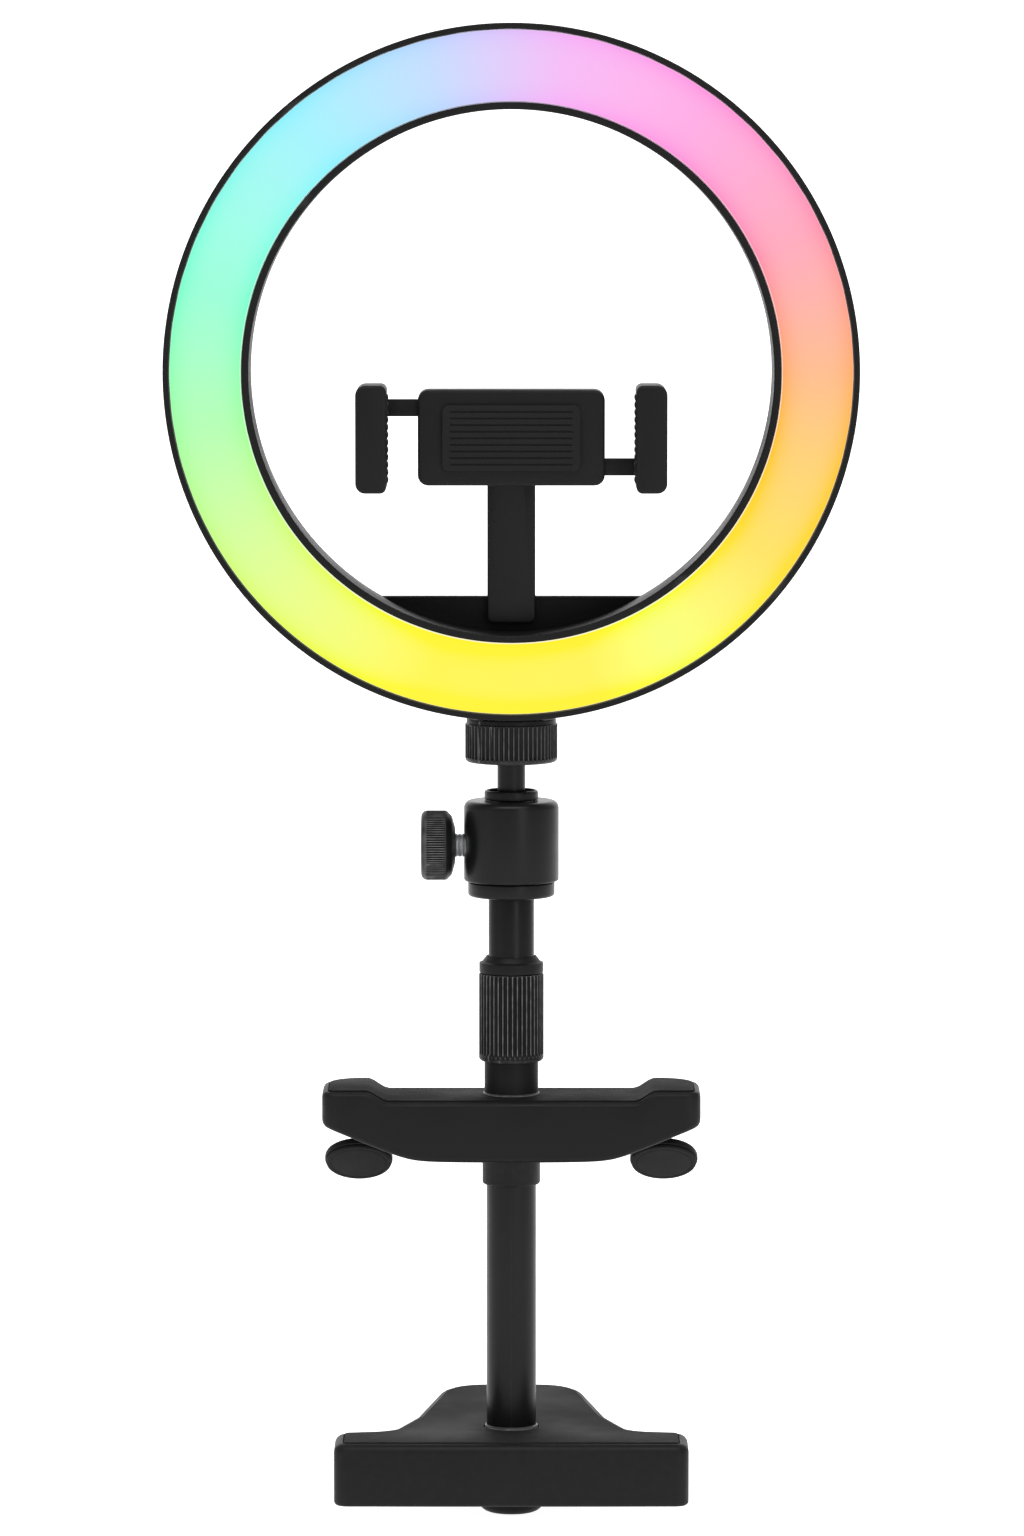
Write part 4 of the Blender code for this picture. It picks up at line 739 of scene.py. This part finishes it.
# ---- Locknut ----
# The knurled nut that is run up the stem against the lamp's foot. Black anodised, with a plain band
# above its ribs and a rounded lower rim.
NUT_LOW, NUT_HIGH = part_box("locknut")
nut_radius = NUT_HIGH.x
nut_rib_foot, nut_rib_top = NUT_LOW.z + 0.0013, NUT_HIGH.z - 0.0016
nut_profile = eased([(0.0034, NUT_HIGH.z), (nut_radius - 0.0004, NUT_HIGH.z, 0.0004),
                     (nut_radius - 0.0004, nut_rib_top + 0.0003, 0.0001), (nut_radius, nut_rib_top, 0.0002),
                     (nut_radius, nut_rib_top - 0.0006), (nut_radius, nut_rib_foot + 0.0007),
                     (nut_radius, nut_rib_foot), (nut_radius - 0.0001, NUT_LOW.z, 0.0012),
                     (0.0034, NUT_LOW.z)])
nut_ribs = straight_ribs(58, 0.00055, nut_rib_foot, nut_rib_top + 0.0001, nut_radius - 0.0002, 2.6)
# Its pale edge colour paints highlights on the rib crests.
ribbed_metal = new_finish("black_metal", (0.0032, 0.0032, 0.0032), (0.0056, 0.0056, 0.0056),
                          (0.150, 0.150, 0.150),
                          (0.34, 0.44), specular=0.12, grain_scale=3800, bump=0.08, full_highlight=0.54)
fit(lathe("locknut_knurled", nut_profile, ON_POLE, 58 * 10, ribs=nut_ribs), "stem_nut", ribbed_metal,
    "locknut")


# ---- Ring lamp's shell ----
# A black moulded channel, open to the front, with rounded back edges and six sunk screw holes. A flat
# web closes the foot of its hole, and a boss at the bottom takes the stem.
SHELL_LOW, SHELL_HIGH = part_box("rear_shell")
ring_radius = SHELL_HIGH.x
ring_z = SHELL_HIGH.z - ring_radius
hole_radius = ring_radius - 0.0248
ring_front, ring_back = POLE_Y - SHELL_LOW.y, POLE_Y - SHELL_HIGH.y
OUTER_LIP, INNER_LIP, BACK_WALL, BACK_ROUND = 0.0017, 0.0021, 0.0020, 0.0060
IN_RING = Matrix.Translation((0, POLE_Y, ring_z)) @ Matrix.Rotation(math.radians(90), 4, "X")
outer_wall, inner_wall = ring_radius - OUTER_LIP, hole_radius + INNER_LIP
shell_profile = eased([(ring_radius, ring_front, 0.0005), (ring_radius, ring_back, BACK_ROUND),
                       (hole_radius, ring_back, BACK_ROUND), (hole_radius, ring_front, 0.0005),
                       (inner_wall, ring_front, 0.0001), (inner_wall, ring_back + 0.0070),
                       (inner_wall + 0.0045, ring_back + BACK_WALL),
                       (outer_wall - 0.0045, ring_back + BACK_WALL),
                       (outer_wall, ring_back + 0.0070), (outer_wall, ring_front, 0.0001)])
shell = lathe("lamp_shell", shell_profile, IN_RING, 256)
screw_circle = (ring_radius + hole_radius) / 2
sinks = []
for k in range(6):
    turn = math.radians(60 * k)
    spot = IN_RING @ Vector((screw_circle * math.cos(turn), screw_circle * math.sin(turn), 0))
    back = POLE_Y - ring_back
    outside = (spot.x, back + 0.004, spot.z)
    sinks.append(drill("screw_sink", 0.0026, (spot.x, back - 0.0012, spot.z), outside, 48))
    sinks.append(drill("screw_hole", 0.0014, (spot.x, back - 0.006, spot.z), outside, 24))
inlet_low, inlet_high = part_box("power_inlet")
WINDOW_ROOM, WINDOW_REACH = 0.0003, 0.0200
window = oblong(inlet_low.x - WINDOW_ROOM, inlet_low.z - WINDOW_ROOM, inlet_high.x + WINDOW_ROOM,
                inlet_high.z + WINDOW_ROOM)
through_back = Matrix.Translation((0, POLE_Y + WINDOW_REACH, 0)) @ Matrix.Rotation(math.radians(90), 4, "X")
sinks.append(moulding("inlet_window", window, -WINDOW_REACH, WINDOW_REACH, through_back))
cut(shell, *sinks)
fit(shell, "ring", satin_black, "rear_shell")

WEB_DROP, WEB_FRONT, WEB_BACK = 0.0658, 0.0010, 0.0050
web_reach = hole_radius + 0.0008
web_half = math.acos(WEB_DROP / web_reach)
web_outline = [Vector((web_reach * math.cos(turn), web_reach * math.sin(turn)))
               for turn in [-math.pi / 2 - web_half + 2 * web_half * k / 40 for k in range(41)]]
fit(moulding("lamp_web", web_outline, -WEB_BACK, -WEB_FRONT, IN_RING, 0.0006), "ring", satin_black)

boss_foot = SHELL_LOW.z
boss_outline = oblong(-0.0090, -0.0070, 0.0090, 0.0060, 0.0015)
boss = moulding("lamp_foot_boss", boss_outline, boss_foot, ring_z - 0.0940, ON_POLE, 0.0005)
cut(boss, drill("boss_bore", 0.0055, (0, POLE_Y, boss_foot - 0.002), (0, POLE_Y, ring_z - 0.0890)))
fit(boss, "ring", satin_black)


# ---- Diffuser ----
# A milky acrylic ring, slightly domed, set between the shell's two lips. The chips behind it run
# through every colour round the ring, so the acrylic glows in soft colours that melt together.
def from_screen(colour):
    """A colour as a screen shows it, turned into linear light."""
    return [c / 12.92 if c <= 0.04045 else ((c + 0.055) / 1.055) ** 2.4 for c in colour]


GLOW_STOPS = {  # degrees from 3 o'clock, counterclockwise
    0: (1.00, 0.74, 0.57), 25: (1.00, 0.67, 0.74), 55: (1.00, 0.68, 0.89), 80: (0.95, 0.73, 0.95),
    105: (0.77, 0.86, 0.99), 130: (0.65, 0.94, 0.98), 165: (0.62, 1.00, 0.84), 190: (0.71, 1.00, 0.71),
    225: (0.90, 1.00, 0.56), 255: (1.00, 0.95, 0.36), 285: (1.00, 0.94, 0.39), 300: (0.96, 1.00, 0.50),
    325: (1.00, 0.88, 0.42), 345: (1.00, 0.81, 0.49), 360: (1.00, 0.74, 0.57)}

glow = bpy.data.materials.new("diffuser_glow_finish")
glow["slot"] = "diffuser_glow"
glow.use_nodes = True
glow_nodes, glow_links = glow.node_tree.nodes, glow.node_tree.links
glow_shader = glow_nodes["Principled BSDF"]
glow_shader.inputs["Base Color"].default_value = (0.02, 0.02, 0.02, 1)
glow_shader.inputs["Roughness"].default_value = 0.35
glow_shader.inputs["Specular IOR Level"].default_value = 0.15
glow_shader.inputs["Emission Strength"].default_value = 1.0


def glow_math(operation, first, second=None):
    node = glow_nodes.new("ShaderNodeMath")
    node.operation = operation
    for socket, value in zip(node.inputs, (first, second)):
        if isinstance(value, (int, float)):
            socket.default_value = value
        elif value is not None:
            glow_links.new(value, socket)
    return node.outputs["Value"]


glow_place = glow_nodes.new("ShaderNodeTexCoord")
glow_split = glow_nodes.new("ShaderNodeSeparateXYZ")
glow_links.new(glow_place.outputs["Object"], glow_split.inputs["Vector"])
across = glow_split.outputs["X"]
above = glow_math("SUBTRACT", glow_split.outputs["Z"], ring_z)
round_share = glow_math("FRACT", glow_math("DIVIDE", glow_math("ARCTAN2", above, across), 2 * math.pi))
colours = glow_nodes.new("ShaderNodeValToRGB")
colours.color_ramp.interpolation = "LINEAR"
stops = colours.color_ramp.elements
stops[0].position, stops[1].position = 0.0, 1.0
stops[0].color = stops[1].color = (*from_screen(GLOW_STOPS[0]), 1)
for degrees, colour in GLOW_STOPS.items():
    if 0 < degrees < 360:
        stops.new(degrees / 360).color = (*from_screen(colour), 1)
glow_links.new(round_share, colours.inputs["Fac"])

from_centre = glow_math("SQRT",
                        glow_math("ADD", glow_math("POWER", across, 2), glow_math("POWER", above, 2)))
band_middle, band_half = (outer_wall + inner_wall) / 2, (outer_wall - inner_wall) / 2
off_middle = glow_math("DIVIDE", glow_math("ABSOLUTE", glow_math("SUBTRACT", from_centre, band_middle)),
                       band_half)
richer = glow_nodes.new("ShaderNodeHueSaturation")
richness = glow_nodes.new("ShaderNodeMapRange")
richness.inputs["To Min"].default_value, richness.inputs["To Max"].default_value = 1.06, 1.30
glow_links.new(glow_math("POWER", off_middle, 3), richness.inputs["Value"])
glow_links.new(richness.outputs["Result"], richer.inputs["Saturation"])
glow_links.new(colours.outputs["Color"], richer.inputs["Color"])
# Painted highlight: a white line along both edges of the glowing band, standing in for light caught by the
# acrylic's edges.
rim_highlight = glow_nodes.new("ShaderNodeMapRange")
rim_highlight.inputs["From Min"].default_value, rim_highlight.inputs["From Max"].default_value = 0.955, 0.975
glow_links.new(off_middle, rim_highlight.inputs["Value"])
rim_highlight_mix = glow_nodes.new("ShaderNodeMix")
rim_highlight_mix.data_type = "RGBA"
rim_highlight_mix.inputs["B"].default_value = (1, 1, 1, 1)
glow_links.new(glow_math("MULTIPLY", rim_highlight.outputs["Result"], 0.75), rim_highlight_mix.inputs["Factor"])
glow_links.new(richer.outputs["Color"], rim_highlight_mix.inputs["A"])
glow_links.new(rim_highlight_mix.outputs["Result"], glow_shader.inputs["Emission Color"])
milk = place_effect(glow_nodes, grain, Grain_Scale=2500, Cloud_Scale=30)
milk_relief = glow_nodes.new("ShaderNodeBump")
milk_relief.inputs["Strength"].default_value = 0.1
milk_relief.inputs["Distance"].default_value = 0.0002
glow_links.new(milk.outputs["Height"], milk_relief.inputs["Height"])
glow_links.new(milk_relief.outputs["Normal"], glow_shader.inputs["Normal"])

glow_low, glow_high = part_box("diffuser")
glow_front, glow_foot = POLE_Y - glow_low.y, POLE_Y - glow_high.y
glow_outer = outer_wall - 0.0003
glow_inner = inner_wall + 0.0003
crown, skirt = 0.0004, 0.0014
glow_middle, glow_half = (glow_outer + glow_inner) / 2, (glow_outer - glow_inner) / 2
across_band = [k / 10 - 1 for k in range(1, 20)]
face = [(glow_middle + glow_half * share, glow_front - crown * share * share) for share in across_band]
glow_profile = ([(glow_inner, glow_foot), (glow_inner, glow_front - 0.0006)] + face
                + [(glow_outer, glow_front - 0.0006), (glow_outer, glow_foot),
                   (glow_outer - skirt, glow_foot),
                   (glow_outer - skirt, glow_front - skirt), (glow_inner + skirt, glow_front - skirt),
                   (glow_inner + skirt, glow_foot)])
fit(lathe("diffuser_acrylic", glow_profile, IN_RING, 256), "ring", glow, "diffuser")


# ---- Inside the lamp ----
# A white tray, the ring of lamp chips on their board, a small driver board, the brass insert for the
# stem, and the steel inlet in its window at the back.
board_finish = new_finish("circuit_board", (0.70, 0.72, 0.70), (0.80, 0.82, 0.80), (0.86, 0.86, 0.84),
                          (0.40, 0.60),
                          grain_scale=1800, cloud_scale=400)
dress(white_moulded, "light_tray")
dress(board_finish, "led_board", "driver_board")
dress(brass, "mount_insert")
dress(zinc, "power_inlet")


# ---- Lamp screws ----
# Six small cross-headed screws sunk in the back of the shell, into the tray's posts.
BACKWARDS = Matrix.Rotation(math.radians(-90), 4, "X")
for k in range(6):
    screw_node = f"shell_screw_{k + 1}"
    low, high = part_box(screw_node)
    head_height, head_radius = 0.0008, (high.x - low.x) / 2
    head_seat = Vector(((low.x + high.x) / 2, high.y - head_height, (low.z + high.z) / 2))
    place = Matrix.Translation(head_seat) @ BACKWARDS
    cross_screw(screw_node + "_turned", place, head_radius, head_height, 0.0011,
                high.y - low.y - head_height, zinc,
                "ring", screw_node)


# ---- Holder arm and swivel ----
# A flat black metal arm, screwed on the web from behind, that ends in a boss. The phone holder turns
# on a steel bolt through it, with a ribbed nut behind.
ARM_LOW, ARM_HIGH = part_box("holder_arm")
arm_half = ARM_HIGH.x
holder_low, holder_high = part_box("holder_plate")
HOLDER_Z = (holder_low.z + holder_high.z) / 2
arm_back, arm_front = POLE_Y - ARM_HIGH.y, POLE_Y - ARM_HIGH.y + 0.0030
arm_outline = eased([(-arm_half, ARM_LOW.z - ring_z, 0.0020), (arm_half, ARM_LOW.z - ring_z, 0.0020),
                     (arm_half, ARM_HIGH.z - ring_z, 0.0068), (-arm_half, ARM_HIGH.z - ring_z, 0.0068)],
                    steps=12)
arm = moulding("holder_arm_plate", arm_outline, arm_back, arm_front, IN_RING, 0.0005)
AT_SWIVEL = Matrix.Translation((0, POLE_Y, HOLDER_Z)) @ Matrix.Rotation(math.radians(90), 4, "X")
swivel_y = (0, POLE_Y - 0.03, HOLDER_Z), (0, POLE_Y + 0.03, HOLDER_Z)
cut(arm, drill("arm_bore", 0.0028, *swivel_y, 48))
fit(arm, "ring", anodised, "holder_arm")
arm_boss_front = POLE_Y - ARM_LOW.y
arm_boss = eased([(0.0066, arm_front - 0.0002), (0.0066, arm_boss_front, 0.0004), (0.0028, arm_boss_front),
                  (0.0028, arm_front - 0.0002)], steps=3)
fit(lathe("holder_arm_boss", arm_boss, AT_SWIVEL, 96), "ring", anodised)
for word in ("left", "right"):
    low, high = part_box("arm_screw_" + word)
    head_height = 0.0013
    head_seat = Vector(((low.x + high.x) / 2, high.y - head_height, (low.z + high.z) / 2))
    place = Matrix.Translation(head_seat) @ BACKWARDS
    cross_screw(f"arm_screw_{word}_turned", place, (high.x - low.x) / 2, head_height, 0.0010,
                high.y - low.y - head_height, zinc, "ring", "arm_screw_" + word)
nut_low, nut_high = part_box("swivel_nut")
nut_front, nut_back = POLE_Y - nut_low.y, POLE_Y - nut_high.y
swivel_nut_radius = (nut_high.x - nut_low.x) / 2
swivel_nut_profile = eased([(0.0027, nut_front), (swivel_nut_radius, nut_front, 0.0003),
                            (swivel_nut_radius, nut_front - 0.0009), (swivel_nut_radius, nut_back + 0.0012),
                            (swivel_nut_radius, nut_back, 0.0007), (0.0027, nut_back)])
swivel_nut_ribs = straight_ribs(20, 0.0004, nut_back + 0.0004, nut_front - 0.0003,
                                swivel_nut_radius - 0.0003)
fit(lathe("swivel_nut_ribbed", swivel_nut_profile, AT_SWIVEL, 200, ribs=swivel_nut_ribs), "ring",
    satin_black,
    "swivel_nut")
dress(zinc, "swivel_bolt")
dress(white_moulded, "swivel_washer")


# ---- Phone holder's case ----
# A small black case in two halves, a hollow shell and a front plate, with slots in its ends for the
# grips' racks. A soft rubber rest is glued on the front.
case_low, case_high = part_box("holder_shell")
case_half, case_rise = (case_high.x - case_low.x) / 2, (case_high.z - case_low.z) / 2
case_back, case_front = POLE_Y - case_high.y, POLE_Y - case_low.y


def case_outline(grow=0.0, corner=0.0030):
    x, y = case_half + grow, case_rise + grow
    return oblong(-x, -y, x, y, corner)


case = moulding("holder_case", case_outline(), case_back, case_front, AT_SWIVEL, 0.0001, 0.0010)
case_room = moulding("case_room", case_outline(-0.0016, 0.0016), case_back + 0.0020, case_front + 0.004,
                     AT_SWIVEL)
rack_bands = {-1: (0.0049, 0.0110), 1: (-0.0110, -0.0049)}
rack_front, rack_back = 0.0187, 0.0152
case_slots = [case_room, drill("case_hole", 0.0028, *swivel_y, 48)]
for side, (rack_low, rack_high) in rack_bands.items():
    near, far = sorted((side * 0.0220, side * 0.0300))
    slot_low, slot_high = rack_low - 0.0006, rack_high + 0.0006
    case_slots.append(moulding("case_slot", oblong(near, slot_low, far, slot_high), rack_back - 0.0005,
                               case_front + 0.004, AT_SWIVEL))
cut(case, *case_slots)
fit(case, "holder", satin_black, "holder_shell")

plate_back, plate_front = case_front + 0.0003, POLE_Y - holder_low.y
plate = moulding("holder_front_plate", case_outline(), plate_back, plate_front, AT_SWIVEL, 0.0009, 0.0001)
post_ends = (0, POLE_Y - 0.0132, HOLDER_Z), (0, POLE_Y - plate_back - 0.0004, HOLDER_Z)
post = drill("pinion_post", 0.0014, *post_ends, 32)
cut(plate, post, operation="UNION")
fit(plate, "holder", satin_black, "holder_plate")

rest_low, rest_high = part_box("holder_rest")
rest_half, rest_rise = (rest_high.x - rest_low.x) / 2, (rest_high.z - rest_low.z) / 2
rest_back, rest_front = POLE_Y - rest_high.y, POLE_Y - rest_low.y
rest_outline = oblong(-rest_half, -rest_rise, rest_half, rest_rise, 0.0020)
rest = moulding("holder_rest_rubber", rest_outline, rest_back, rest_front, AT_SWIVEL, 0.0004, 0.0)
GROOVES, GROOVE_HALF, groove_reach = 9, 0.00025, rest_half * 0.88
grooves = []
for k in range(GROOVES):
    rise = rest_rise * 1.6 * (k / (GROOVES - 1) - 0.5)
    groove_outline = oblong(-groove_reach, rise - GROOVE_HALF, groove_reach, rise + GROOVE_HALF)
    grooves.append(moulding("rest_groove", groove_outline, rest_front - 0.0003, rest_front + 0.001,
                            AT_SWIVEL))
cut(rest, *grooves)
fit(rest, "holder", matt_rubber, "holder_rest")


# ---- Grips ----
# Two black jaws that slide out of the case on toothed racks and close on a phone's long edges. Each
# has a ribbed rubber pad let into its inner face.
PITCH_RADIUS, TEETH = 0.0040, 10
tooth_pitch = 2 * math.pi * PITCH_RADIUS / TEETH


def rack_outline(side):
    """A toothed bar from inside the jaw to just past the pinion, its teeth towards the pinion."""
    low, high = rack_bands[-1]
    inner, outer = 0.0120, -0.0380
    teeth = []
    x = inner - 0.0006
    while x > -0.0180:
        teeth += [(x, low + 0.0012), (x - 0.3 * tooth_pitch, low), (x - 0.5 * tooth_pitch, low),
                  (x - 0.8 * tooth_pitch, low + 0.0012)]
        x -= tooth_pitch
    points = [(inner, high), (outer, high), (outer, low + 0.0012)] + teeth[::-1] + [(inner, low + 0.0012)]
    return [(-side * x, -side * y) for x, y in points]


for side, word in ((-1, "left"), (1, "right")):
    body = word + "_grip"
    jaw_low, jaw_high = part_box(word + "_grip_jaw")
    outer_x = side * max(abs(jaw_low.x), abs(jaw_high.x))
    rubber_low, rubber_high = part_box(word + "_grip_pad")
    inner_x = side * (min(abs(rubber_low.x), abs(rubber_high.x)) + 0.0005)
    rise = (jaw_high.z - jaw_low.z) / 2
    grip_back, grip_front = POLE_Y - jaw_high.y, POLE_Y - jaw_low.y
    outline = eased([(outer_x, -rise, 0.0028), (inner_x, -rise, 0.0018), (inner_x, rise, 0.0018),
                     (outer_x, rise, 0.0028)])
    fit(moulding(word + "_grip_block", outline, grip_back, grip_front, AT_SWIVEL, 0.0008, 0.0008), body,
        satin_black,
        word + "_grip_jaw")
    fit(moulding(word + "_grip_rack", rack_outline(side), rack_back, rack_front, AT_SWIVEL, 0.0001), body,
        satin_black)
    pad_back, pad_front = POLE_Y - rubber_high.y, POLE_Y - rubber_low.y
    pad_rise = (rubber_high.z - rubber_low.z) / 2
    face_x, root_x = side * min(abs(rubber_low.x), abs(rubber_high.x)), outer_x - side * 0.006
    ridges = []
    for k in range(12):
        low_z = -pad_rise + 2 * pad_rise * k / 12
        ridge = 2 * pad_rise / 12
        ridges += [(face_x + side * 0.0003, low_z + 0.08 * ridge), (face_x, low_z + 0.3 * ridge),
                   (face_x, low_z + 0.7 * ridge), (face_x + side * 0.0003, low_z + 0.92 * ridge)]
    pad_outline = ridges + [(root_x, pad_rise), (root_x, -pad_rise)]
    fit(moulding(word + "_grip_rubber", pad_outline, pad_back, pad_front, AT_SWIVEL), body, matt_rubber,
        word + "_grip_pad")
dress(white_moulded, "grip_pinion")
dress(zinc, "grip_spring")
